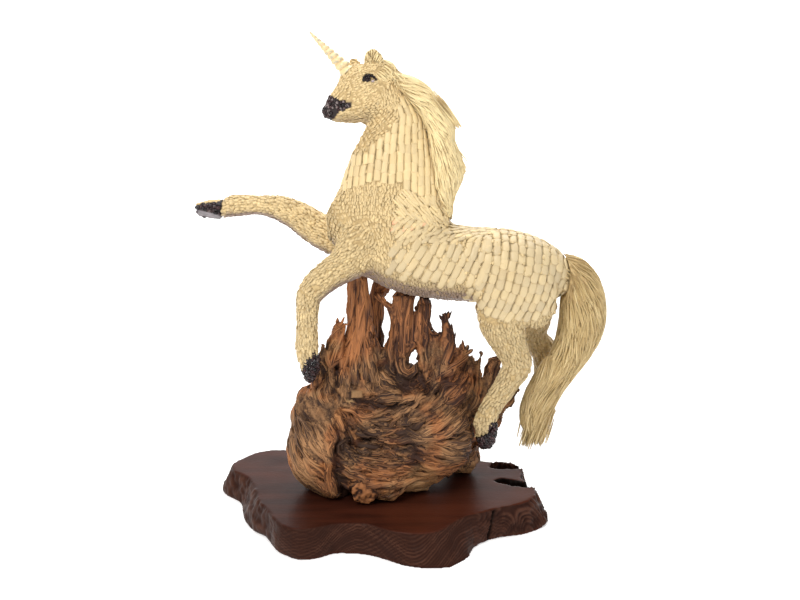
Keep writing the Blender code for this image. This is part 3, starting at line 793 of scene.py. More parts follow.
# %% Fields across the columns, in mm
x_mm, y_mm, z_mm = (skin_points / MM).T
MIDDLE = MIDPLANE / MM
NECK_SECTION = ((300, 12, 50, 34), (318, 12, 52, 34), (340, 9, 66, 38), (359, 9, 72, 39),
                (388, 13, 60, 36), (421, 15, 50, 31), (449, 17, 38, 25), (471, 19, 28, 22),
                (500, 10, 24, 19))  # z, middle x, half width along x, half width along y
NECK_HALF_X, NECK_HALF_Y = 54, 33  # the section on which the arc is measured
MEET_X, MEET_Z, MEET_REACH = 259, 658, 394  # where the flank's planes meet, and how far off
levels, middle_x, half_x, half_y = np.array(NECK_SECTION, float).T
neck_turn = np.arctan2((y_mm - MIDDLE) / np.interp(z_mm, levels, half_y),
                       -(x_mm - np.interp(z_mm, levels, middle_x))
                       / np.interp(z_mm, levels, half_x))
turns = np.linspace(0, math.pi, 200)
speed = np.hypot(NECK_HALF_X * np.sin(turns), NECK_HALF_Y * np.cos(turns))
arc = np.concatenate([[0], np.cumsum((speed[1:] + speed[:-1]) / 2 * np.diff(turns))])
neck_field = np.interp(np.abs(neck_turn), turns, arc) - np.interp(math.pi / 2, turns, arc)
neck_field = neck_field * (np.interp(z_mm, levels, half_x) / NECK_HALF_X) ** 0.8
barrel_field = MEET_REACH * np.arctan2(x_mm - MEET_X, MEET_Z - z_mm)
haunch_field = x_mm + 23 * ((343 - z_mm).clip(0, None) / 92) ** 2.3
print("half the neck's arc, mm:", round(float(arc[-1]) / 2, 1))

# %% Columns of petals and rows of blades
skin_out = normals_of(skin_points, skin_quads)
skin_tree = tree_of(skin_points, skin_quads)


def columns(bed, zone, field, pitch, length, warm, seed, template=PETAL):
    """Petals along the level lines of the field, their tips downward."""
    place, out, growing, rate = marked(skin_points, skin_out, skin[zone_of == zone], field * MM,
                                       pitch, length, True)
    wide = pitch / rate.clip(0.6, 1.6)
    way = np.cross(out, growing)
    way = way * np.where(way[:, 2:] > 0, -1.0, 1.0)
    rng = np.random.default_rng(seed)
    n = len(place)
    size = rng.uniform(0.94, 1.06, n)
    place = place + way * rng.normal(0, 0.5 * MM, n)[:, None] - 0.5 * length * way
    laid = lay(template, place - 0.5 * MM * out, way, out, wide * 1.1 * size,
               length * 1.3 * rng.uniform(0.95, 1.08, n), 5.8 * MM * size,
               rng.normal(0, 0.05, n), rng.uniform(0.0, 0.02, n), skin_tree)
    bed.add(laid, rng.beta(3.2, 1.4, n), np.clip(warm + rng.normal(0, 0.12, n), 0, 1))


def blades(bed, chosen, field, pitch, gap, warm, seed, rosy=0.0):
    """Broad pointed shells on the level lines of the field, their tips where it grows. The
    share rosy of those high on the back has rosy rims."""
    place, out, way, _ = marked(skin_points, skin_out, chosen, field, pitch, gap)
    rng = np.random.default_rng(seed)
    n = len(place)
    size = rng.uniform(0.9, 1.12, n)
    laid = lay(BLADE, place - 0.5 * pitch * way + 0.9 * MM * out, way, out, gap * 1.3 * size,
               pitch * 1.9 * size, 5.0 * MM, rng.normal(0, 0.12, n),
               rng.uniform(0.0, 0.04, n), skin_tree)
    tone, warmth = rng.beta(4, 1.6, n), np.clip(warm + rng.normal(0, 0.18, n), 0, 1)
    high = smooth_step(place[:, 2], 0.346, 0.358)
    bed.add(laid, tone, np.where(rng.random(n) < rosy * high, 2.0, warmth))


petals = Bed()
columns(petals, "neck", neck_field, 8.6 * MM, 10.4 * MM, 0.8, 1, COLUMN)
columns(petals, "barrel", barrel_field, 8.9 * MM, 16 * MM, 0.35, 2)
columns(petals, "haunch", haunch_field, 9.4 * MM, 11.2 * MM, 0.3, 3)
# Blades also reach 3 mm past their zones, over the ends of the columns
over_spine = inside(seen + (0, 3), ZONES["spine"]) & torso | (zone_of == "spine")
over_fan = inside(seen + (3, 3), ZONES["fan"]) & torso | (zone_of == "fan")
blades(petals, skin[over_spine], (x_mm * -0.75 - z_mm * 0.66) * MM, 7.5 * MM, 5.4 * MM, 0.45,
       31, rosy=0.4)
blades(petals, skin[over_fan], (x_mm * 0.72 - z_mm * 0.7) * MM, 9 * MM, 3.2 * MM, 0.85, 32)
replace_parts(petals.finish("petals", CREAM, "shell_facing"), "unicorn_body")

# %% [markdown]
# ## Pointed shells in rows
#
# Everywhere else the rows run round the limb, and each shell points down it. Alternate rows
# are shifted by half a shell, as roof tiles are. A sunken layer of them runs on under the
# petals, so that a gap between two columns shows small shells and not bare glue.

# %% Rows round the limbs
def scales(bed, chosen, field, pitch, gap, warm, seed, down=1.0, size=1.0, sink=0.35 * MM,
           calm=1.0):
    """Pointed shells on the level lines of the field, their tips where it grows, or the other
    way if down is -1. calm scales how far they tilt and how much their tones differ. On the
    body, those that face down are painted lavender and darker, as shade."""
    if len(chosen) == 0:
        return
    place, out, way, _ = marked(skin_points, skin_out, chosen, field, pitch, gap)
    rng = np.random.default_rng(seed)
    n = len(place)
    grow = rng.uniform(0.85, 1.15, n)
    way = down * way
    place = place + rng.normal(0, 0.3 * MM, (n, 3)) - 0.5 * pitch * way
    laid = lay(POINTED, place - sink * out, way, out, gap * 1.4 * grow,
               pitch * 2.1 * grow, 4.6 * MM * size * grow,
               rng.normal(0, 0.15, n), calm * rng.uniform(0.02, 0.12, n))
    warm = np.clip(warm + rng.normal(0, 0.2, n) * calm, 0, 1)
    # Painted shade: shells facing down on the body go lavender and darker, half as much up on the
    # head and neck
    shaded = smooth_step(-out[:, 2], 0.15, 0.75) * (place[:, 2] > 0.26)
    shaded = shaded * np.where(place[:, 2] > 0.4, 0.5, 1.0)
    bed.add(laid, 1 - calm * rng.beta(1.8, 3.5, n), warm * (1 - shaded) - shaded)


plain = zone_of == ""
under_petals = np.isin(zone_of, ["fan", "neck", "spine", "barrel", "haunch"])
belly_field = np.arctan2(np.abs(y_mm - MIDDLE), z_mm - 306) * 40 * MM
WARMTH = {"head": 0.72, "neck": 0.55, "barrel": 0.3, "fore_left": 0.38, "fore_right": 0.6,
          "hind_left": 0.12, "hind_right": 0.12}
CALM = {"head": 0.45, "neck": 0.75}
FINE = {"head": 0.68, "neck": 0.85}  # the size of the shells there, 0.92 elsewhere
front_scales, rear_scales = Bed(), Bed()
for number, limb in enumerate(limbs):
    own = triangle_owner == number
    bed = rear_scales if limb in ("barrel", "hind_left", "hind_right") else front_scales
    field = belly_field if limb == "barrel" else runs[limb]
    down, fine = -1.0 if limb == "head" else 1.0, FINE.get(limb, 0.92)
    scales(bed, skin[plain & own], field, 3.3 * MM * fine, 3.3 * MM * fine, WARMTH[limb],
           10 + number, down, fine, calm=CALM.get(limb, 1.0))
    scales(bed, skin[under_petals & own], field, 3.8 * MM, 3.8 * MM, WARMTH[limb], 20 + number,
           down, sink=1.1 * MM)
scales(front_scales, skin[zone_of == "jaw"], runs["head"], 2.5 * MM, 2.5 * MM, 0.6, 30, -1.0)
front_scales.finish("front_scales", FINE_CREAM, "shell_facing")
rear_scales.finish("rear_scales", FINE_CREAM, "shell_facing")

darkened = np.zeros(len(skin_points))
darkened[skin[np.isin(zone_of, ["muzzle", "hoof", "hind_hoof"])]] = 1
piece("glue_bed", skin_points, skin_quads, GLUE, "shell_facing", [("dark", darkened)])

# %% [markdown]
# ## Slivers
#
# Mane, tail, poll and ears are thatched with long thin slivers. Each row starts well
# under the one above it, so only the last third of a sliver shows. Hair curves could stand
# for them, but slivers of shell are stiff and catch the light, so they are leaves as well.

# %% Faces of a closed tube, and a ball
def tube_faces(rings, around):
    """Squares between each ring of points and the next, and a fan of triangles from the point
    that closes each end. The rings' points are numbered first, then the two ends. The faces
    look outward if the rings turn as a right-hand screw does along the tube."""
    grid = np.arange(rings * around).reshape(rings, around)
    beside = np.roll(grid, -1, axis=1)
    quads = np.stack([grid[:-1], beside[:-1], beside[1:], grid[1:]], axis=-1).reshape(-1, 4)
    first, last = rings * around, rings * around + 1
    caps = [np.stack([np.full(around, first), beside[0], grid[0]], axis=1),
            np.stack([np.full(around, last), grid[-1], beside[-1]], axis=1)]
    return quads, np.concatenate(caps)


def ball(around, rings):
    """A closed sphere of unit diameter, laid out as a leaf is: rings of points at equal angles
    from the top down. They turn the other way, so each face's corners are taken backwards."""
    tilt = np.linspace(0, math.pi, rings + 2)[1:-1]
    turn = np.arange(around) * 2 * math.pi / around
    x = np.outer(np.sin(tilt), np.cos(turn))
    y = np.outer(np.sin(tilt), np.sin(turn))
    z = np.repeat(np.cos(tilt)[:, None], around, axis=1)
    points = np.concatenate([np.stack([x, y, z], axis=-1).reshape(-1, 3),
                             [[0, 0, 1], [0, 0, -1]]]) / 2
    quads, caps = tube_faces(rings, around)
    return (points, [quads[:, [0, 3, 2, 1]], caps[:, [0, 2, 1]]],
            np.zeros(len(quads) + len(caps), bool))


# %% Thatch on a surface, and locks in the air
def thatch(bed, points, quads, field, pitch, gap, long, warm, tones, seed):
    """Slivers whose roots lie on the level lines of the field and whose tips point up it.
    Slow noise turns them in waves, so that neighbours run together as locks do."""
    place, normal, way, _ = marked(points, normals_of(points, quads), halves(quads), field,
                                   pitch, gap, True)
    rng = np.random.default_rng(seed)
    n = len(place)
    place = place + rng.normal(0, 0.8 * MM, (n, 3))
    wave = 0.8 * (noise(place, 16 * MM, seed) - 0.5) + rng.normal(0, 0.06, n)
    laid = lay(SLIVER, place - 0.5 * MM * normal, way, normal, gap * rng.uniform(0.8, 1.25, n),
               long * rng.uniform(0.75, 1.25, n), 3.6 * MM, wave, rng.uniform(0.0, 0.06, n),
               tree_of(points, quads))
    bed.add(laid, rng.beta(*tones, n), np.clip(warm + rng.normal(0, 0.2, n), 0, 1))


def lock(bed, root, tip, around, face, count, warm, seed):
    """Slivers that run together from near the root to near the tip and stand free at the end.
    around is the half size of the bundle at its root along x, y, z, and it is 0.6 of that at
    the tip, where the ends also stray by 2.4 mm. face is the way their crowns look."""
    rng = np.random.default_rng(seed)
    spread = rng.normal(0, 0.5, (count, 3)) * np.array(around) * MM
    from_root = rng.uniform(0, 0.5, (count, 1))
    start = np.array(root) * MM + spread
    end = np.array(tip) * MM + 0.6 * spread + rng.normal(0, 2.4 * MM, (count, 3))
    start = start + (end - start) * from_root
    heading = unit(end - start)
    out = spread / (8 * MM) + np.array(face)
    out = out - (out * heading).sum(1, keepdims=True) * heading
    laid = lay(SLIVER, start, heading, out, rng.uniform(1.8, 2.6, count) * MM,
               np.linalg.norm(end - start, axis=1), 3.4 * MM)
    bed.add(laid, rng.beta(2.5, 1.3, count), np.clip(warm + rng.normal(0, 0.15, count), 0, 1))


# %% Slivers over the mane and the tail
# Axis points from the root down, in mm: x, y, z, radius
MANE_AXIS = ((5, 25, 525, 8), (17, 25, 508, 14), (32, 25, 500, 16), (45, 25, 491, 16),
             (57, 25, 475, 16), (66, 25, 456, 18), (68, 25, 442, 18), (72, 25, 418, 22),
             (72, 25, 402, 22), (69, 25, 386, 18), (70, 25, 372, 16), (76, 25, 352, 10))
TAIL_AXIS = ((190, 25, 309, 9), (211, 25, 303, 13), (223, 25, 292, 18), (232, 25, 272, 22),
             (235, 25, 248, 23), (233, 25, 224, 23), (223, 24, 199, 21), (211, 23, 176, 18),
             (199, 22, 156, 17), (189, 21, 137, 17), (184, 21, 118, 17), (180, 21, 90, 10))
slivers, thatched = Bed(), []
for name, axis, warm, long, tones, seed in (("mane", MANE_AXIS, 0.98, 21 * MM, (2.8, 1.0), 41),
                                            ("tail", TAIL_AXIS, 0.15, 32 * MM, (1.7, 1.2), 42)):
    points, quads, normals = dense(name, 2.2 * MM, 3)
    points = points - 1.6 * MM * normals
    run, _ = along_axis(points, axis)
    if name == "mane":
        run = run + 0.45 * (points[:, 0] - 0.05)  # the rows rise towards the back
    thatch(slivers, points, quads, run, 5.5 * MM, 2.0 * MM, long, warm, tones, seed)
    thatched.append((points, quads))

# %% The poll, a tuft that fills the wedge between the ears and the mane
POLL, POLL_WAY = np.array([4, 25, 514]) * MM, np.array([0.8, 0, -0.6])
poll, (poll_quads, poll_caps), _ = ball(28, 17)
poll = poll * 32 * MM + POLL
poll_faces = np.concatenate([halves(poll_quads), poll_caps])
place, _, _ = rows_on(poll, poll_faces, poll @ POLL_WAY, 5 * MM, 2.0 * MM, True)
place = place[place[:, 2] > 0.5]
rng = np.random.default_rng(45)
n = len(place)
slivers.add(lay(SLIVER, place, np.tile(POLL_WAY, (n, 1)), place - POLL, 2.2 * MM,
                rng.uniform(14, 22, n) * MM, 3.4 * MM, rng.normal(0, 0.15, n), 0.03,
                tree_of(poll, poll_faces)),
            rng.beta(2.6, 1.2, n), np.clip(0.85 + rng.normal(0, 0.2, n), 0, 1))
print("slivers on the poll:", n)

# %% Ears: slivers that fan upward, with painted shade inside the hollow
place, corners, shares = rows_on(skin_points, skin[zone_of == "ears"], skin_points[:, 2],
                                 3.4 * MM, 1.9 * MM, True)
rng = np.random.default_rng(46)
n = len(place)
out = unit(at_marks(skin_out, corners, shares))
fan = np.stack([(place[:, 0] - EAR_X) / (12 * MM), np.zeros(n), np.ones(n)], axis=1)
# How far each sliver lies in the hollow: its tone is lowered by that, as painted shade
cup_shade = at_marks(cup, corners, shares)
slivers.add(lay(SLIVER, place - 2.5 * MM * np.array([0, 0, 1.0]), fan, out, 2.2 * MM,
                rng.uniform(8, 12, n) * MM, 3.4 * MM, rng.normal(0, 0.16, n),
                rng.uniform(0, 0.12, n), skin_tree),
            np.clip(rng.beta(3, 1.2, n) - 0.9 * cup_shade, -0.3, 1), rng.uniform(0.6, 1, n))
print("slivers on the ears:", n)

# %% Locks that stand free: ends of the mane's two upper tiers, root and tip of the tail
for side in (-1, 1):
    lock(slivers, (60, 25 + 10 * side, 492), (87, 25 + 3 * side, 458), (7, 7, 6),
         (0.8, side, 0.6), 60, 0.95, 43)
    lock(slivers, (70, 25 + 13 * side, 443), (92, 25 + 4 * side, 408), (7, 8, 7),
         (0.8, side, 0.4), 70, 0.95, 44)
    lock(slivers, (187, 25 + 8 * side, 309), (215, 25 + 11 * side, 289), (7, 6, 8),
         (0.3, side, 0.6), 60, 0.2, 49)
lock(slivers, (187, 20, 128), (174, 20, 85), (12, 12, 8), (0, -1.5, 0), 130, 0.2, 47)
lock(slivers, (198, 20, 134), (187, 20, 86), (9, 13, 8), (0, -1.5, 0), 100, 0.2, 48)
hair = slivers.finish("slivers", STRAW, "shell_slivers")
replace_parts(hair, "mane", "tail")


# %% The bed under the slivers
def together(surfaces):
    """(points, faces) of all the surfaces as one, each of them given as (points, faces)."""
    starts = np.cumsum([0] + [len(points) for points, _ in surfaces])
    shifted = [faces + start for (_, faces), start in zip(surfaces, starts)]
    return np.concatenate([points for points, _ in surfaces]), np.concatenate(shifted)


joined, joined_quads = together([*thatched, (poll, poll_quads)])
joined_caps = poll_caps + len(joined) - len(poll)
piece("thatch_bed", joined, [joined_quads, joined_caps], GLUE, "shell_slivers")

# %% [markdown]
# ## Dark chips
#
# Nose and hooves are set with glossy, nearly black chips at all angles, so each one glints on
# its own, and some are painted paler at their raised ends as further glints. They are short
# thick leaves with strong turns and tilts. The far forehoof shows its sole, a smooth
# grey-lavender shell.

# %% Dark chips and the sole
DARK = Look("dark chip", Roughness=0.16, Specular_IOR_Level=0.28, Coat_Weight=0.15,
            Coat_Roughness=0.05)
chip_tone, pale_chip_and_glint = DARK.place.attribute("tone"), DARK.place.attribute("warm")
# Below 2 the pale value is a painted glint at each chip's raised end; at 2 it is a pale chip, as
# in the eye
raised_end = DARK.place.attribute("along").between(0.25, 0.85)
pale_chip_and_glint = pale_chip_and_glint * raised_end + pale_chip_and_glint.between(1.0, 2.0)  # at 2 it is pale all over
chip_colour = chip_tone.mixed(rgb(0.008, 0.005, 0.006), rgb(0.060, 0.026, 0.027))
DARK.feed(Base_Color=pale_chip_and_glint.mixed(chip_colour, rgb(0.42, 0.34, 0.33)))
DARK.bump(DARK.place.noise(700, 2), 0.0003, 0.35)
SOLE = Look("dark setting and sole", Roughness=0.4, Coat_Weight=0.2)
sole_mark = SOLE.place.attribute("sole")
bands = SOLE.place.noise(180, 3).between(0.3, 0.7).mixed(rgb(0.09, 0.07, 0.08),
                                                         rgb(0.19, 0.155, 0.17))
SOLE.feed(Base_Color=sole_mark.mixed(rgb(0.018, 0.011, 0.012), bands))


# %% Chips, laid first on the nose and round the near hooves' tops
def chips(bed, points, triangles, out, field, pitch, gap, seed, pale=None):
    """Chips along the level lines of the field, loosely turned and tilted. About one in eight is
    paler at its raised end, a painted glint. On the nose, which gives pale, it is two in seven."""
    place, normal, way, _ = marked(points, out, triangles, field, pitch, gap, True)
    rng = np.random.default_rng(seed)
    n = len(place)
    size = rng.uniform(0.8, 1.25, n)
    normal = unit(normal + rng.normal(0, 0.1, (n, 3)))
    laid = lay(CHIP, place - 0.4 * MM * normal - 0.5 * pitch * way, way, normal,
               gap * 1.3 * size, pitch * 1.45 * size, 3.2 * MM * size, rng.normal(0, 0.35, n),
               rng.uniform(0.0, 0.12, n))
    # Painted glints: the share of chips paler at the raised end, and how pale
    share, strength = (0.12, 0.4) if pale is None else (0.28, 0.75)
    light = strength * (rng.uniform(0, 1, n) < share)
    light = light if pale is None else np.maximum(light, pale(place))
    bed.add(laid, rng.uniform(0, 1, n) ** 2, light * rng.uniform(0.4, 1, n))


def nostril(place):
    """Pale chips where the photograph shows a light spot on the nose."""
    spot = seen_from_camera(place) - (-57, 486)
    return (np.linalg.norm(spot, axis=1) < 3.2).astype(float)


dark_chips = Bed()
for zone, limb, pitch, gap, seed, pale in (("muzzle", "head", 2.5, 2.5, 50, nostril),
                                           ("hoof", "fore_left", 3.0, 2.9, 48, None),
                                           ("hind_hoof", "hind_left", 3.0, 2.9, 49, None)):
    chips(dark_chips, skin_points, skin[zone_of == zone], skin_out, runs[limb], pitch * MM,
          gap * MM, seed, pale)
print("chips on the skin:", dark_chips.copies)

# %% The four hooves, the sole and the cream top of the raised far one
# The way down each hoof, x and z, along which its rows of chips follow one another
HOOVES = {"hoof_fore_left": (0.84, -0.54), "hoof_fore_right": (-1.0, 0.06),
          "hoof_hind_left": (0.58, -0.81), "hoof_hind_right": (0.3, -0.95)}
SOLE_WAY = unit(np.array([-0.2, -0.6, -0.8]))  # the way the far forehoof's sole faces
SOLE_CUT = 3.6 * MM  # how much of the hoof the flat sole takes off
hoof_top, settings, soles = Bed(), [], []
for seed, (name, down) in enumerate(HOOVES.items(), 51):
    points, quads, normals = dense(name, 1.0 * MM, 24)
    points = points - 0.6 * MM * normals
    sole, cream_top = np.zeros(len(points)), np.zeros(len(points), bool)
    if name == "hoof_fore_right":
        away = points @ SOLE_WAY
        limit = away.max() - SOLE_CUT
        sole = smooth_step(away, limit - 1.0 * MM, limit)
        points = points - (away - limit).clip(0, None)[:, None] * SOLE_WAY
        cream_top = normals[:, 2] > 0.82
    triangles = halves(quads)
    bare = (sole[triangles].max(1) > 0.5) | cream_top[triangles].all(1)
    field, out = points[:, [0, 2]] @ np.array(down), normals_of(points, quads)
    chips(dark_chips, points, triangles[~bare], out, field, 3.0 * MM, 2.9 * MM, seed)
    if cream_top.any():
        covered = triangles[cream_top[triangles].all(1)]
        place, corners, shares = rows_on(points, covered, field, 3.0 * MM, 3.0 * MM)
        n = len(place)
        rng = np.random.default_rng(59)
        hoof_top.add(lay(POINTED, place - 0.3 * MM * at_marks(out, corners, shares),
                         at_marks(slopes(points, covered, field)[0], corners, shares),
                         at_marks(out, corners, shares), 4.2 * MM, 6.3 * MM, 4.6 * MM,
                         rng.normal(0, 0.15, n), rng.uniform(0.02, 0.1, n)),
                     rng.beta(3.5, 1.8, n), np.full(n, 0.7))
    settings.append((points, quads))
    soles.append(sole)
hoof_top.finish("hoof_top", FINE_CREAM, "shell_facing")
hoof_chips = dark_chips.finish("dark_chips", DARK, "dark_shell")
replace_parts(hoof_chips, *HOOVES)
piece("hoof_settings", *together(settings), SOLE, "dark_shell",
      [("sole", np.concatenate(soles))])

# %% [markdown]
# ## Eyes
#
# Each eye is an arch of small black beads with a pale chip under its outer end. The beads are
# placed where the photograph shows them: a ray from the camera through each one finds the
# cheek, and the far eye uses the mirrored ray.

# %% Beads on the cheeks
EYE_CHIP = (-8.2, 508.2)  # where the pale chip is seen, x and z in mm on the plane y = 0
# The beads in the same way, with their diameters in mm
BEADS = ((-16.4, 509.6, 3.4), (-16.0, 512.6, 3.6), (-13.4, 514.8, 3.8), (-10.2, 515.6, 3.8),
         (-7.0, 514.8, 3.6), (-4.4, 512.8, 3.4), (-2.8, 510.4, 3.0), (-13.2, 511.6, 4.0),
         (-10.4, 512.6, 3.8), (-12.2, 508.6, 3.8), (-9.8, 509.6, 3.4), (-14.9, 509.8, 3.0))
BEAD = ball(8, 5)


def on_cheek(x, z, far):
    """The place and normal where the ray from the camera through (x, 0, z) mm meets the skin,
    or where its mirror image does."""
    start, way = EYE.copy(), np.array([x, 0, z]) * MM - EYE
    if far:
        start[1], way[1] = 2 * MIDPLANE - start[1], -way[1]
    place, normal, _, _ = skin_tree.ray_cast(Vector(start), Vector(way).normalized())
    return np.array(place), np.array(normal)


eyes = Bed()
for far in (False, True):
    hits = [on_cheek(x, z, far) for x, z, _ in BEADS]
    place, normal = (np.array(found) for found in zip(*hits))
    size = np.array([b[2] for b in BEADS]) * MM
    up = np.tile([0.0, 0.0, 1.0], (len(BEADS), 1))
    eyes.add(lay(BEAD, place + 1.0 * MM * normal, up, normal, size, size, size),
             np.linspace(0, 0.3, len(BEADS)), np.zeros(len(BEADS)))
    place, normal = (v[None] for v in on_cheek(*EYE_CHIP, far))
    eyes.add(lay(CHIP, place, np.array([[0.7, 0, 0.4]]), normal, 3.0 * MM, 4.4 * MM, 5 * MM),
             np.zeros(1), np.full(1, 2.0))
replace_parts(eyes.finish("eyes", DARK, "eye_beads"), "eye_left", "eye_right")

# %% [markdown]
# ## The horn
#
# The horn is a screw shell. One long cone is wound with eight whorls, widest at the root: the
# radius swells and falls once for each turn of a spiral, so the seam between whorls climbs as
# it goes round. A modifier could twist a ribbed cone as well, but one formula gives both the
# shape and the place within a whorl, which the colours follow as an attribute.

# %% Screw shell
HORN_ROOT, HORN_TIP = np.array([-39.0, 25, 523]) * MM, np.array([-75.25, 25, 560.25]) * MM
HORN_SUNK = 0.12  # share of its length that runs on into the forehead
HORN_WHORLS, HORN_RADIUS, HORN_TAPER = 8, 7.2 * MM, 0.86
ROUND, ALONG = 28, 190  # points round the horn and rings along it
turn = np.arange(ROUND) * 2 * math.pi / ROUND
share = np.linspace(-HORN_SUNK, 1, ALONG)[:, None]
whorl = (HORN_WHORLS * (share - share.min()) ** 1.2 + turn / (2 * math.pi)) % 1
swell = 0.82 + 0.32 * np.sin(math.pi * whorl ** 0.8)
ribs = 1 + 0.012 * np.sin(9 * turn + 40 * share)
radius = HORN_RADIUS * (1 - HORN_TAPER * share) * swell * ribs
horn_way = unit(HORN_TIP - HORN_ROOT)
horn_side = np.array([0.0, 1.0, 0.0])
horn_up = np.cross(horn_way, horn_side)
length = np.linalg.norm(HORN_TIP - HORN_ROOT)
horn_points = (HORN_ROOT + share[:, :, None] * length * horn_way
               + (radius * np.cos(turn))[:, :, None] * horn_side
               + (radius * np.sin(turn))[:, :, None] * horn_up).reshape(-1, 3)
horn_ends = [HORN_ROOT - HORN_SUNK * length * horn_way, HORN_TIP]
horn_points = np.concatenate([horn_points, horn_ends])
print(f"horn: {length / MM:.1f} mm long, {2 * radius.max() / MM:.1f} mm wide at its root")

# %% Look of the screw shell
HORN = Look("screw shell", Roughness=0.35, Coat_Weight=0.2, Coat_Roughness=0.2)
lap, reach_up = HORN.place.attribute("lap"), HORN.place.attribute("reach")
cream = reach_up.mixed(rgb(0.80, 0.62, 0.33), rgb(0.84, 0.58, 0.33))
spots = (HORN.place.noise(260, 2).between(0.46, 0.58) * lap.between(0.05, 0.25)
         * lap.between(0.7, 0.5))
cream = (spots * 0.75).mixed(cream, rgb(0.42, 0.42, 0.34))
blush = lap.between(0.80, 1.0) * 0.3 + lap.between(0.14, 0.0) * 0.35
cream = (blush + HORN.place.noise(70, 2).between(0.45, 0.7) * 0.25).mixed(
    cream, rgb(0.60, 0.38, 0.18))
HORN.feed(Base_Color=cream)
HORN.bump(HORN.place.noise(900, 2), 0.0003, 0.4)
horn = piece("horn_shell", horn_points, list(tube_faces(ALONG, ROUND)), HORN, "horn_shell",
             [("lap", np.append(np.broadcast_to(whorl, (ALONG, ROUND)).ravel(), [0.5, 0.5])),
              ("reach", np.append(np.broadcast_to(share, (ALONG, ROUND)).ravel(), [0, 1]))])
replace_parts(horn, "horn")

# %% [markdown]
# ## Driftwood
#
# The burl is weathered root wood: red-brown fibres that run straight up the prongs and swirl
# like water in the rounded mass below, with dark cracks where fibres have parted. Fibres are
# noise smeared along the grain. The grain is a field of directions: at each point it is the
# average of the directions drawn on the front, the nearest counting most. Walking a short way
# along it both ways and averaging noise on the walk gives long streaks across which the noise
# still changes quickly. Where the grain runs into the surface, as on the sawn stub, the same
# recipe shows dots, which is end grain.

# %% Directions of the grain, drawn on the front: x, z in mm and the angle above level
GRAIN = (
    (-17, 281, 90), (-15, 247, 90), (-20, 217, 92), (-16, 194, 85), (3, 197, -60),
    (-5, 205, -68), (6, 185, -50), (20, 166, -40), (-9, 170, -75), (-34, 182, 80),
    (-40, 158, 75), (-50, 217, 62), (-59, 185, 70), (-71, 170, 75), (27, 270, 80),
    (21, 241, 72), (15, 211, 80), (21, 185, 80), (7, 263, 130), (51, 256, 85), (43, 229, 80),
    (50, 209, 85), (73, 235, 105), (66, 217, 95), (57, 197, 60), (97, 194, 35), (86, 182, 20),
    (69, 176, 15), (103, 176, 20), (57, 185, 25), (46, 170, -10), (120, 176, 52),
    (114, 158, 55), (-23, 146, -12), (0, 142, 8), (23, 149, 5), (-34, 133, -20), (-6, 121, -5),
    (17, 121, 10), (29, 137, 30), (-91, 170, -60), (-86, 158, -50), (-92, 139, -40),
    (-69, 133, -32), (-49, 113, -28), (-92, 115, -35), (-70, 97, -22), (-41, 97, -10),
    (-97, 84, -55), (-88, 59, -50), (-71, 40, -40), (-53, 30, -35), (-70, 72, -30),
    (-35, 72, -5), (-12, 78, 0), (11, 84, -8), (35, 78, -5), (23, 59, 5), (5, 40, 5),
    (41, 47, 12), (46, 97, -15), (52, 133, -2), (75, 137, 8), (98, 146, 15), (58, 115, -8),
    (86, 121, 2), (109, 127, 10), (64, 90, -20), (92, 97, -8), (70, 72, 10), (46, 55, 18),
    (81, 65, 14),
)
drawn = np.array(GRAIN, float)
GRAIN_REACH = 13.0  # mm
BURL_AXIS = np.array([0.005, 0.028])  # x, y of the upright line that level fibres run round
print("directions drawn:", len(drawn))


def grain(points):
    """Unit directions: cos(angle) times the way round the burl plus sin(angle) times up. The
    angle is the average of the drawn ones, weighted by exp(-(distance / 13 mm) squared). An
    average of angles is taken on the circle of double angles, as a fibre has no front end."""
    away = points[:, None, [0, 2]] / MM - drawn[None, :, :2]
    weight = np.exp(-(away**2).sum(2) / GRAIN_REACH**2) + 1e-9
    double = np.radians(2 * drawn[:, 2])
    swirl = 0.5 * (noise(points, 30 * MM, 5) - 0.5)
    angle = 0.5 * np.arctan2(weight @ np.sin(double), weight @ np.cos(double)) + swirl
    radial = points[:, :2] - BURL_AXIS
    round_it = unit(np.stack([-radial[:, 1], radial[:, 0], 0 * angle], axis=1))
    return np.cos(angle)[:, None] * round_it + np.sin(angle)[:, None] * np.array([0, 0, 1.0])


def along_surface(directions, normals):
    """The directions without their parts along the normals, as unit vectors."""
    return unit(directions - (directions * normals).sum(1, keepdims=True) * normals)


def streaks(points, normals, sizes, step, steps):
    """Noise of each size, averaged over a walk along the grain in the plane of the surface,
    scaled to 0 mean and unit spread: one column for each size."""
    total = np.zeros((len(points), len(sizes)))
    for sense in (1.0, -1.0):
        at = points.copy()
        heading = sense * along_surface(grain(at), normals)
        for _ in range(steps):
            at = at + step * heading
            turned = grain(at)
            turned = turned * np.sign((turned * heading).sum(1, keepdims=True) + 1e-12)
            heading = along_surface(turned, normals)
            for i, size in enumerate(sizes):
                total[:, i] += noise(at, size, 20 + i)
    return (total - total.mean(0)) / total.std(0)


# %% Folds between the masses: x, z in mm along each, half width and depth in mm
FOLDS = (
    (((-44, 100), (-48, 84), (-46, 60), (-40, 42), (-42, 30)), 6.5, 9),
    (((-50, 118), (-44, 104), (-26, 100), (-8, 106)), 4, 4.5),
    (((28, 140), (34, 118), (40, 95), (46, 76), (42, 60)), 4.5, 3.5),
    (((-3, 240), (2, 215), (6, 190), (14, 176), (30, 172)), 4.5, 6),
    (((18, 182), (26, 170), (40, 166), (52, 164)), 7, 8),
    (((-66, 186), (-62, 170), (-52, 156), (-34, 146), (-10, 141), (16, 146), (40, 148)), 3, 3.5),
    (((48, 165), (70, 160), (96, 165), (112, 172)), 2.5, 3),
    (((-60, 205), (-54, 185), (-50, 165)), 3, 4),
    (((60, 60), (78, 52), (96, 60), (108, 78)), 3, 3),
)

BURL_MIDDLE = 3  # x in mm about which the back is turned left for right


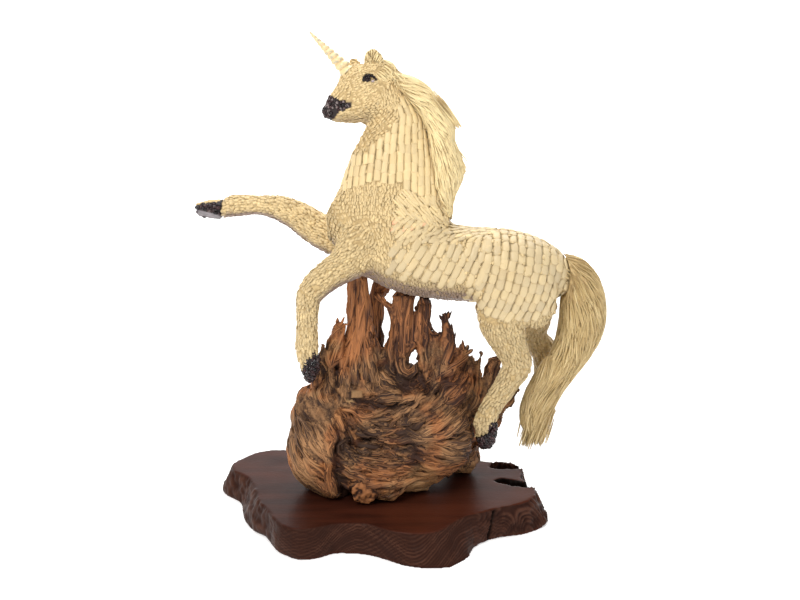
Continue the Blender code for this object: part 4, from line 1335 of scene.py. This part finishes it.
def as_front(points):
    """(x, z) in mm of each point. The hidden back is turned left for right, so that it has
    what is drawn on the front."""
    place = points[:, [0, 2]] / MM
    behind = points[:, 1] > BURL_AXIS[1]
    place[:, 0] = np.where(behind, 2 * BURL_MIDDLE - place[:, 0], place[:, 0])
    return place


def fold_depth(points):
    """Depth in mm at each point: for each fold its depth times exp(-(distance to its line /
    half width) squared), and the deepest of them counts. Noise bends the lines by up to
    4.5 mm, and the folds fade out at the burl's sides."""
    bends = np.stack([noise(points, 14 * MM, 71), noise(points, 14 * MM, 72)], 1) - 0.5
    place = as_front(points) + 9 * bends
    deepest = np.zeros(len(points))
    for path, half_width, depth in FOLDS:
        path = np.array(path, float)
        way = np.diff(path, axis=0)
        share = ((place[:, None] - path[:-1]) * way).sum(2) / (way**2).sum(1)
        foot = path[:-1] + share.clip(0, 1)[:, :, None] * way
        away = np.linalg.norm(place[:, None] - foot, axis=2).min(1)
        deepest = np.maximum(deepest, depth * np.exp(-(away / half_width) ** 2))
    return deepest * smooth_step(np.abs(points[:, 1] - BURL_AXIS[1]), 0.0, 0.03)


def near_mark(points, centre, inner, outer):
    """1 within the inner radius of a mark on the front, 0 beyond the outer one. The centre is
    where the camera sees the mark, x, z in mm on the plane y = 0."""
    away = np.linalg.norm(seen_from_camera(points) - centre, axis=1)
    return (1 - smooth_step(away, inner, outer)) * (points[:, 1] < 0)


# %% Driftwood core: the wood under the flakes
STUB, CUT_PATCH = (-20, 28), (-26.8, 153.6)  # the sawn stub and a pale cut, on the front
STUB_WAY = unit(np.array([0.05, -1.0, 0.1]))  # the way the sawn stub faces
burl_points, burl_quads, burl_normals = dense("driftwood_burl", 1.5 * MM, 2)
fibre = streaks(burl_points, burl_normals, (8.5 * MM, 3.6 * MM, 1.9 * MM), 1.8 * MM, 16)
slender = smooth_step(burl_points[:, 2], 0.2, 0.225)  # 1 on the prongs
fold = fold_depth(burl_points)
stub = near_mark(burl_points, STUB, 14, 18) * (burl_points[:, 2] < 0.075)
from_patch = np.abs(seen_from_camera(burl_points) - CUT_PATCH) / (6.2, 4.6)
patch = (1 - smooth_step(from_patch.max(1), 0.85, 1.15)) * (burl_points[:, 1] < 0)
reach_out = burl_points @ STUB_WAY
proud = (reach_out - (reach_out[stub > 0.5].max() - 3.5 * MM)).clip(0, None)
burl_points = burl_points - (proud * smooth_step(stub, 0, 0.5))[:, None] * STUB_WAY
print("points on the stub and on the cut:", int((stub > 0.5).sum()), int((patch > 0.5).sum()))


# %% Relief of the core, in mm
def rough_wood(points):
    """How torn the layers are: 1 in the middle of the burl, and 0.3 on the smooth lobes at its
    two sides and on the prongs. The same holds for the back."""
    x, z = points[:, 0] / MM, points[:, 2] / MM
    return 0.3 + 0.7 * np.exp(-(((x + 2) / 42) ** 2 + ((z - 105) / 48) ** 2))


HIGHEST, DEEPEST = 2.2, 10
BURL_FOOT = 0.0341  # just above the slab's top, which the burl stands on
groove = smooth_step(-fibre[:, 0], 0.7, 1.7)  # 1 where the broadest streaks are lowest
layer = 1.5 * fibre[:, 0] + 0.35 * fibre[:, 1]
ledge = smooth_step(layer % 1, 0.0, 0.7) * (1 - smooth_step(layer % 1, 0.86, 1.0))
rough = rough_wood(burl_points)
pores = noise(burl_points, 2.6 * MM, 81) + noise(burl_points, 6 * MM, 82) - 1
# Fine fibres and folds, then ledges on the mass, long ribs on the prongs, swells and cracks
height = (0.45 * fibre[:, 1] + 0.3 * fibre[:, 2]) * (1 - 0.3 * slender) - fold - 1.0
height = height + (1 - slender) * (rough * 4.4 * (ledge - 0.5) + 0.6 * fibre[:, 0])
height = height + 0.9 * slender * fibre[:, 0] + 2.4 * (noise(burl_points, 24 * MM, 9) - 0.5)
height = height - groove * (3.2 - 1.4 * slender)
# End grain on the stub, and the pale cut stands level with the highest wood
height = height * (1 - stub) + stub * (2.8 * pores - 0.6)
height = height * (1 - patch) + patch * HIGHEST
height = height.clip(-DEEPEST, HIGHEST)
settled = smooth_step(burl_points[:, 2], 0.0345, 0.039)
burl_points = burl_points + burl_normals * (height * settled * MM)[:, None]
burl_points[:, 2] = np.maximum(burl_points[:, 2], BURL_FOOT)
burl_out = normals_of(burl_points, burl_quads)
burl_tree = tree_of(burl_points, burl_quads)
print("deepest hollow, mm:", round(float(-height.min()), 1))

# %% [markdown]
# ## Flakes and splinters
#
# Weathered wood parts along its growth layers. What the eye reads as driftwood is long flat
# flakes that lie over one another, a few loose fibres, and torn splinters where a layer has
# broken off. Each one here is a flat section swept along the grain: the path takes a step
# along the surface, looks up the nearest place on the wood, and steps again. A flake dips
# under the wood at both ends, so only its long edges show. A torn splinter leaves out the
# look-up for its last steps and runs straight on into the air.

# %% Paths along the grain
TURN_LIMIT = 0.35  # cosine of about 70 degrees
LOWEST_PATH = 0.0358  # m, a little above the slab's top


def grain_paths(starts, lengths, steps, torn, lift, wild):
    """(points, normals, depths in a groove from 0 to 1, marks of the paths kept) of paths over
    the wood, steps + 1 rows each. The heading is the grain's, turned by wild, in radians, one
    for each path. The last third of a torn path keeps its heading and rises by lift for each
    unit of length, and where torn is 2 all of the path does. A path that leaps from one mass
    to the next, touches the slab, the stub or the pale cut, or turns by more than 70 degrees
    between rows is left out."""
    at, up, face = nearest(burl_tree, starts)
    heading = along_surface(grain(at), up)
    heading = heading * np.where(heading[:, 2:] * (at[:, 2:] - 0.14) < 0, -1.0, 1.0)
    heading = unit(heading + np.tan(wild)[:, None] * np.cross(up, heading))
    step = (lengths / steps)[:, None]
    points, normals, faces = [at], [up], [face]
    for k in range(steps):
        ahead = at + step * heading
        on, up_there, face = nearest(burl_tree, ahead)
        loose = (torn > 1.5 - (k >= steps * 2 // 3))[:, None]
        at = np.where(loose, ahead + step * lift[:, None] * up, on)
        up = np.where(loose, up, unit(up + up_there))
        turned = grain(at)
        turned = turned * np.sign((turned * heading).sum(1, keepdims=True) + 1e-12)
        turned = unit(turned + 2 * heading * np.abs(np.tan(wild))[:, None])
        heading = np.where(loose, heading, along_surface(turned, up))
        points.append(at)
        normals.append(up)
        faces.append(face)
    points, normals = np.stack(points, axis=1), np.stack(normals, axis=1)
    in_groove = groove[burl_quads[np.stack(faces, axis=1), 0]]
    hop = np.linalg.norm(np.diff(points, axis=1), axis=2)
    steady = (normals[:, 1:] * normals[:, :-1]).sum(2).min(1) > TURN_LIMIT
    sound = steady & (hop.max(1) < 1.18 * step[:, 0]) & (hop.min(1) > 0.3 * step[:, 0])
    sound &= points[:, :, 2].min(1) > LOWEST_PATH
    for mark, kept_off in ((STUB, 15), (CUT_PATCH, 8)):
        near = near_mark(points.reshape(-1, 3), mark, kept_off, kept_off + 1)
        sound &= near.reshape(len(starts), -1).max(1) < 0.5
    return points[sound], normals[sound], in_groove[sound], sound


# %% A section swept along each path
# Corners of the sections as (across, outward) in shares of half width and of thickness
FLAKE = ((-1, -1.2), (-0.88, 0.3), (-0.35, 0.85), (0.35, 1.0), (0.88, 0.5), (1, -1.2))
SPLINTER = ((-1, 0), (-0.4, 0.8), (0.5, 0.75), (1, -0.1), (0, -0.8))


def swept(section, paths, normals, wide, thick, lean, dip, blunt):
    """Closed sweeps of the section along the paths. Each ring is path + across * wide * g *
    side + (outward + lean * across) * thick * g * normal, where g = sin(pi * share) to the
    power blunt. The path sinks by dip * |2 share - 1| to the fourth power. Returns points,
    faces, and at each point the copy's number, |across|, the place across and along in m."""
    count, rows = paths.shape[:2]
    way = unit(np.gradient(paths, axis=1))
    side = unit(np.cross(way, normals))
    up = np.cross(side, way)
    share = np.linspace(0, 1, rows)
    paths = paths - (dip[:, None] * np.abs(2 * share - 1) ** 4)[:, :, None] * up
    across, outward = np.array(section, float).T
    grow = np.sin(math.pi * share[1:-1]) ** blunt
    x = wide[:, None, None] * grow[:, None] * across
    y = thick[:, None, None] * grow[:, None] * (outward + lean[:, None, None] * across)
    ring = (paths[:, 1:-1, None] + x[..., None] * side[:, 1:-1, None]
            + y[..., None] * up[:, 1:-1, None])
    points = np.concatenate([ring.reshape(count, -1, 3), paths[:, [0, -1]]], axis=1)
    quads, caps = tube_faces(rows - 2, len(section))
    starts = (np.arange(count) * points.shape[1])[:, None, None]
    faces = [(quads + starts).reshape(-1, 4), (caps + starts).reshape(-1, 3)]
    length = np.linalg.norm(np.diff(paths, axis=1), axis=2).sum(1)
    run = (length[:, None] * share[1:-1])[:, :, None] + 0 * x
    ends = np.zeros((count, 2))
    at_side = np.concatenate([x.reshape(count, -1), ends], axis=1)
    at_run = np.concatenate([run.reshape(count, -1), ends[:, :1], length[:, None]], axis=1)
    rim = np.append(np.tile(np.abs(across) * (outward < 0.6), rows - 2), [1.0, 1.0])
    number = np.repeat(np.arange(count), points.shape[1])
    return (points.reshape(-1, 3), faces, number, np.tile(rim, count), at_side.ravel(),
            at_run.ravel())


# %% Where flakes and splinters start
# Marks on the front, x and z in mm: a line of torn ends, and the tips of the prongs
TORN_LINE = ((-67, 163), (-45, 155), (-22, 152), (0, 157), (23, 166), (46, 162), (68, 159),
             (91, 169))
TIPS = ((77, 244), (89, 214), (100, 204), (108, 203), (71, 247), (-46, 243), (-9, 213), (4, 265),
        (122, 203), (-52, 235), (48, 262))


def closeness(places, marks):
    """Distance in mm from each place to the nearest of the marks."""
    least = np.full(len(places), 999.0)
    for x, z in marks:
        least = np.minimum(least, np.hypot(places[:, 0] - x, places[:, 1] - z))
    return least


rng = np.random.default_rng(91)
front = as_front(burl_points)
torn_line = np.array(TORN_LINE, float)
turns_at = np.arange(len(torn_line))
fine_line = np.stack([np.interp(np.linspace(0, turns_at[-1], 60), turns_at, torn_line[:, k])
                      for k in (0, 1)], axis=1)
by_line, by_tip = closeness(front, fine_line), closeness(front, TIPS)
high_wood = burl_points[:, 2] > 0.2
rough = rough_wood(burl_points)  # again, because the relief has moved the points
anywhere = np.ones(len(burl_points))
# weights of the start points, count, lengths in mm, half widths in mm, thickness in mm (or
# None for 0.8 of the half width), share torn, lift, spread of heading
LONG_FLAKES = (((1.15 - rough) * ~high_wood, 820, (50, 115), (1.8, 6.5), (0.5, 1.1), 0.0, 0.0,
                0.03),)
FLAKES = (((rough - 0.3).clip(0, 1), 640, (16, 44), (2.0, 5.5), (1.2, 2.4), 0.06, 0.2, 0.08),
          (anywhere * high_wood, 520, (35, 75), (1.0, 2.6), (0.7, 1.2), 0.0, 0.0, 0.02),
          ((by_line < 10) * 1.0, 90, (14, 30), (1.0, 2.2), (0.8, 1.3), 0.8, 0.3, 0.3))
SPLINTERS = ((anywhere, 620, (16, 45), (0.4, 0.9), None, 0.05, 0.2, 0.05),
             ((by_line < 11) * 1.0, 560, (9, 24), (0.45, 1.2), None, 0.75, 0.5, 0.5),
             ((by_tip < 10) * (burl_out[:, 2] < 0.6), 340, (8, 20), (1.3, 3.2), None, 2.0, 0.0,
              0.1))


def bundle(groups, steps):
    """Paths, normals, depths in grooves, half widths and thicknesses of all groups."""
    made = [[], [], [], [], []]
    for weight, count, lengths, wides, thicks, share, rise, spread in groups:
        chosen = rng.choice(len(burl_points), count, p=weight / weight.sum())
        torn = (rng.uniform(0, 1, count) < share) * max(share, 1.0)
        long = rng.uniform(*lengths, count) * np.where(torn > 0, 0.75, 1.0) * MM
        lift, wild = rng.uniform(0.2, 1, count) * rise, rng.normal(0, spread, count)
        paths, ups, deep_shade, sound = grain_paths(burl_points[chosen], long, steps, torn, lift, wild)
        wide = rng.uniform(*wides, count) * MM
        thick = 0.8 * wide if thicks is None else rng.uniform(*thicks, count) * MM
        for kept, values in zip(made, (paths, ups, deep_shade, wide[sound], thick[sound])):
            kept.append(values)
    print("paths kept:", [len(part) for part in made[0]])
    return [np.concatenate(part) for part in made]


# %% [markdown]
# ## Wood looks
#
# Driftwood colour follows its fibres. The sweeps carry their own coordinates, across and along,
# so a noise that is squeezed across and stretched along draws fine grain lines that bend with
# every flake. Each flake has a tone of its own, its rims and the stretches that lie in grooves
# and folds are darkened as painted shade, and broad patches drift between red-brown, orange and
# tan. The prongs are the reddest.

# %% Driftwood looks
def wood_look(name, light, lined):
    """Tone sets the place between dark and light, and slow noise on the place chooses red,
    orange or tan wood. With lined, the grain lines follow the sweep's own coordinates."""
    look = Look(name, Roughness=0.68, Specular_IOR_Level=0.3)
    tone, high, pale = (look.place.attribute(key) for key in ("tone", "high", "pale"))
    if lined:
        own = {0: look.place.attribute("across") * 780.0, 1: look.place.attribute("run") * 28.0,
               2: look.place.attribute("copy")}
        fine = look.place.node("CombineXYZ", {}, own).noise(1.0, 3)
    else:
        fine = look.place.noise(500, 3)
    drift = look.place.noise(20, 3) - high * 0.2
    grainy = tone + (fine - 0.5) * (2.3 if lined else 0.7)
    shade = grainy.between(0.0, 1.0)
    red = shade.mixed(rgb(0.035, 0.011, 0.005), rgb(0.42 * light, 0.165 * light, 0.058 * light))
    tan = shade.mixed(rgb(0.035, 0.015, 0.008), rgb(0.43 * light, 0.22 * light, 0.094 * light))
    orange = shade.mixed(rgb(0.10, 0.03, 0.01), rgb(0.50, 0.19, 0.055))
    wood = drift.between(0.40, 0.56).mixed(red, tan)
    wood = (look.place.noise(31, 2).between(0.58, 0.70) * 0.6).mixed(wood, orange)
    wood = pale.mixed(wood, rgb(0.40, 0.25, 0.11))
    look.feed(Base_Color=wood)
    look.bump(fine, 0.0010 if lined else 0.0004, 0.6)
    return look


DRIFT = wood_look("driftwood core", 0.8, False)
FLAKED = wood_look("driftwood flake", 1.0, True)
# Darker in the folds: painted shade
core_tone = (0.42 + 0.14 * fibre[:, 2] + 0.12 * fibre[:, 1] - fold / 8).clip(0, 1)
core_tone = core_tone * (1 - stub) + stub * (0.5 + 1.8 * pores).clip(0, 1)
core_tone = core_tone - 0.35 * smooth_step(stub, 0, 0.3) * (1 - smooth_step(stub, 0.5, 0.9))
core_tone = core_tone * (1 - patch) + patch * (0.6 + 0.3 * pores)
burl = piece("driftwood", burl_points, burl_quads, DRIFT, "driftwood",
             [("tone", core_tone), ("high", slender + stub), ("pale", patch * 0.3)])
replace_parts(burl, "driftwood_burl")

# %% Flakes and splinters over the core
# Marks on the front: place, inner and outer radius, in mm
BLOCK, YELLOW = ((50, 46), 14, 24), (((-35, 146), 3, 5), ((-2, 288), 4, 6))


def sweep_tone(points, rim, shade):
    """What is added to the tone of a sweep at each point: rims, cracks and folds are darker,
    which is painted shade, torn wood is darker too, and so is the right side, its prongs most.
    A block low on the right is lighter, and slow noise drifts over all of it."""
    x, z = points[:, 0], points[:, 2]
    # Painted shade on the rims, in the grooves and in the folds
    tone = -0.15 * smooth_step(rim, 0.8, 1.0) - 0.3 * shade
    tone = tone - fold_depth(points) / 12 - 0.58 * (rough_wood(points) - 0.3)
    tone = tone - 0.26 * smooth_step(z, 0.19, 0.22) * smooth_step(x, 0.01, 0.02)
    tone = tone - 0.14 * smooth_step(x, 0.03, 0.06) + 0.14 * near_mark(points, *BLOCK)
    return tone + 0.6 * (noise(points, 34 * MM, 94) - 0.5) + 0.05


for name, section, groups, steps, blunt in (("long_flakes", FLAKE, LONG_FLAKES, 13, 0.35),
                                            ("flakes", FLAKE, FLAKES, 9, 0.35),
                                            ("splinters", SPLINTER, SPLINTERS, 7, 0.6)):
    paths, ups, deep_shade, wide, thick = bundle(groups, steps)
    count = len(paths)
    lean = rng.uniform(-1, 1, count) * (0.9 if section is FLAKE else 0.0)
    falls = np.cross(paths[:, -1] - paths[:, 0], ups.mean(1))[:, 2]
    ledged = rough_wood(paths[:, 0]) > 0.55  # there each flake leans down to one side
    lean = np.where(ledged, -np.sign(falls) * (0.5 + np.abs(lean)), lean)
    dip = rng.uniform(1.0, 2.4, count) * MM * (1.0 if section is FLAKE else 0.0)
    points, faces, number, rim, across, run = swept(section, paths, ups, wide, thick, lean, dip,
                                                    blunt)
    # How deep each point lies in a groove, which darkens its tone as painted shade
    shade = np.concatenate([np.repeat(deep_shade[:, 1:-1], len(section), axis=1), deep_shade[:, [0, -1]]], 1)
    tone = rng.beta(20, 18.4, count)[number] + sweep_tone(points, rim, shade.ravel())
    yellow = np.maximum(*(near_mark(points, *mark) for mark in YELLOW))
    piece(name, points, faces, FLAKED, "driftwood",
          [("tone", tone.clip(0, 1)), ("high", smooth_step(points[:, 2], 0.2, 0.225)),
           ("pale", yellow * 0.6 + near_mark(points, *BLOCK) * 0.3), ("across", across),
           ("run", run), ("copy", number * 7.3)])

# %% [markdown]
# ## The slab
#
# The slab is a cross cut of dark wood, stained and varnished on top. Its live edge is worn
# down to the growth rings, which show as wavy ridges along the front, and the two ends are
# knobbly bark. The rings are level lines too: here the field is the height, bent by waves
# along the edge, and the relief is a narrow ridge at each level.

# %% Rings and bark on the slab's edge
RING_PITCH = 3.5  # mm
BEND, BEND_LENGTH, BEND_START = 17, 118, 22  # mm: the rings' waves along the edge
slab_points, slab_quads, slab_normals = dense("base_slab", 1.75 * MM, 2)
x, y, z = slab_points.T
edge = smooth_step(1 - np.abs(slab_normals[:, 2]), 0.03, 0.25)
edge = edge * smooth_step(z, 0.0, 0.004)
bend = BEND * np.cos((x / MM + BEND_START) * 2 * math.pi / BEND_LENGTH) + 0.10 * x / MM
wave = (bend + 14 * (noise(slab_points, 42 * MM, 61) - 0.5)
        + 3.5 * (noise(slab_points, 11 * MM, 62) - 0.5))
ring_run = (z / MM - wave) / RING_PITCH
strength = lattice_number(np.stack([np.floor(ring_run) + 500] * 3, axis=1), 67)
ridge_height = np.sin(math.pi * (ring_run % 1)) ** 1.6 * (0.45 + 0.75 * strength)
bark_ends = smooth_step(np.abs(x / MM + 4), 95, 135)
knobs = noise(slab_points, 9 * MM, 63) + 0.6 * noise(slab_points, 4 * MM, 64) - 0.8
relief = edge * ((1 - bark_ends) * (ridge_height - 0.5) + bark_ends * 3.4 * knobs
                 + 3.2 * (noise(slab_points, 24 * MM, 65) - 0.5))
relief = relief + (1 - edge) * 0.25 * (noise(slab_points, 26 * MM, 66) - 0.5)
# The right end is worn down to rings round a knot
swirl = np.sin(110 * noise(slab_points, 34 * MM, 68)) * edge * bark_ends * (x > 0)
relief = relief + 0.8 * swirl
print("relief of the edge, mm:", round(float(relief.min()), 1), round(float(relief.max()), 1))

# %% Two thin cracks down the edge, and painted shade in them and inside the slots
CRACKS = (((136, 6), (129, -31)), ((-113, 85), (-106, 74)))  # ends as seen, x and z in mm
CRACK_WIDTH, CRACK_DEPTH = 1.6, 4.0
SLOTS, SLOTS_HALF = (151, 56), (25, 20)  # middle and half sizes of the place as seen
SLAB_TOP = 0.0352  # where the varnished top is held level
slab_seen = seen_from_camera(slab_points)
crack = np.zeros(len(slab_points))
for first, last in CRACKS:
    first, way = np.array(first, float), np.subtract(last, first)
    share = (((slab_seen - first) @ way) / (way @ way)).clip(0, 1)
    away = np.linalg.norm(slab_seen - first - share[:, None] * way, axis=1)
    crack = np.maximum(crack, np.exp(-(away / CRACK_WIDTH) ** 2))
relief = relief - CRACK_DEPTH * crack
in_slots = (np.abs(slab_seen - SLOTS) < SLOTS_HALF).all(1)
# Painted shade: near black in the cracks and inside the slots
deep_shade = np.maximum(crack, in_slots * smooth_step(edge, 0.2, 0.5) * (y > 0))
upper = smooth_step(z, 0.0, 0.003)
slab_points = slab_points + slab_normals * (relief * upper * MM)[:, None]
slab_points[:, 2] = slab_points[:, 2].clip(0, SLAB_TOP)
print("points in the slots:", int(in_slots.sum()))

# %% Slab look
SLAB = Look("stained slab", Specular_IOR_Level=0.05)
side, ringed = SLAB.place.attribute("side"), SLAB.place.attribute("ring")
stretched = SLAB.place.node("Mapping", {}, {"Vector": SLAB.place, "Scale": (6, 60, 20)})
figure = stretched.noise(1, 4)
top = figure.between(0.3, 0.75).mixed(rgb(0.026, 0.007, 0.004), rgb(0.058, 0.015, 0.008))
glow = SLAB.place.noise(9, 2).between(0.5, 0.75) * 0.5
top = glow.mixed(top, rgb(0.095, 0.024, 0.010))
flank = ringed.between(0.1, 1.2).mixed(rgb(0.030, 0.011, 0.007), rgb(0.080, 0.033, 0.021))
flank = (SLAB.place.noise(60, 3).between(0.35, 0.7) * 0.5).mixed(flank, rgb(0.026, 0.010, 0.007))
# The near-black in the cracks and slots is painted shade; the rest is the stain and the rings
stained = SLAB.place.attribute("deep_shade").mixed(side.mixed(top, flank), rgb(0.006, 0.003, 0.002))
SLAB.feed(Base_Color=stained, Roughness=side * 0.08 + 0.34
          + (SLAB.place.noise(40, 3) - 0.5) * 0.2)
SLAB.bump(SLAB.place.noise(260, 3) + figure * 0.6, 0.0005, 0.25)
slab = piece("slab", slab_points, slab_quads, SLAB, "dark_wood",
             [("side", edge), ("deep_shade", deep_shade),
              ("ring", ridge_height * (1 - bark_ends) + (knobs + 0.5) * bark_ends + 0.4 * swirl)])
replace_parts(slab, "base_slab")

# %% [markdown]
# ## The room's floor
#
# The floor is stage, not part of the object: a pale sweep that stands for the table and the
# wall. One profile drawn out sideways is enough for each, because only one side is seen.

# %% Pale floor and wall
def sweep(name, profile, glow):
    """A sheet 14 m wide that follows a profile of (y, z) in m."""
    look = Look(name, Roughness=0.9, Base_Color=rgb(0.9, 0.9, 0.9),
                Emission_Color=rgb(1, 1, 1), Emission_Strength=glow)
    count = len(profile)
    points = [(x, y, z) for x in (-7, 7) for y, z in profile]
    strip = np.arange(count - 1)
    faces = np.stack([strip, strip + count, strip + count + 1, strip + 1], axis=1)
    mesh = bpy.data.meshes.new(name)
    mesh.from_pydata(points, [], faces.tolist())
    mesh.materials.append(look.material)
    sheet = bpy.data.objects.new(name, mesh)
    bpy.context.scene.collection.objects.link(sheet)
    print(f"{name}: stage only")


FLOOR = -0.0002  # m, just under the slab
sweep("floor", ((-6, FLOOR), (1.2, FLOOR)), 0.34)
sweep("wall", ((1.2, FLOOR), (2.6, 0.02), (3.6, 0.2), (4.6, 1.2), (4.9, 9)), 1.0)
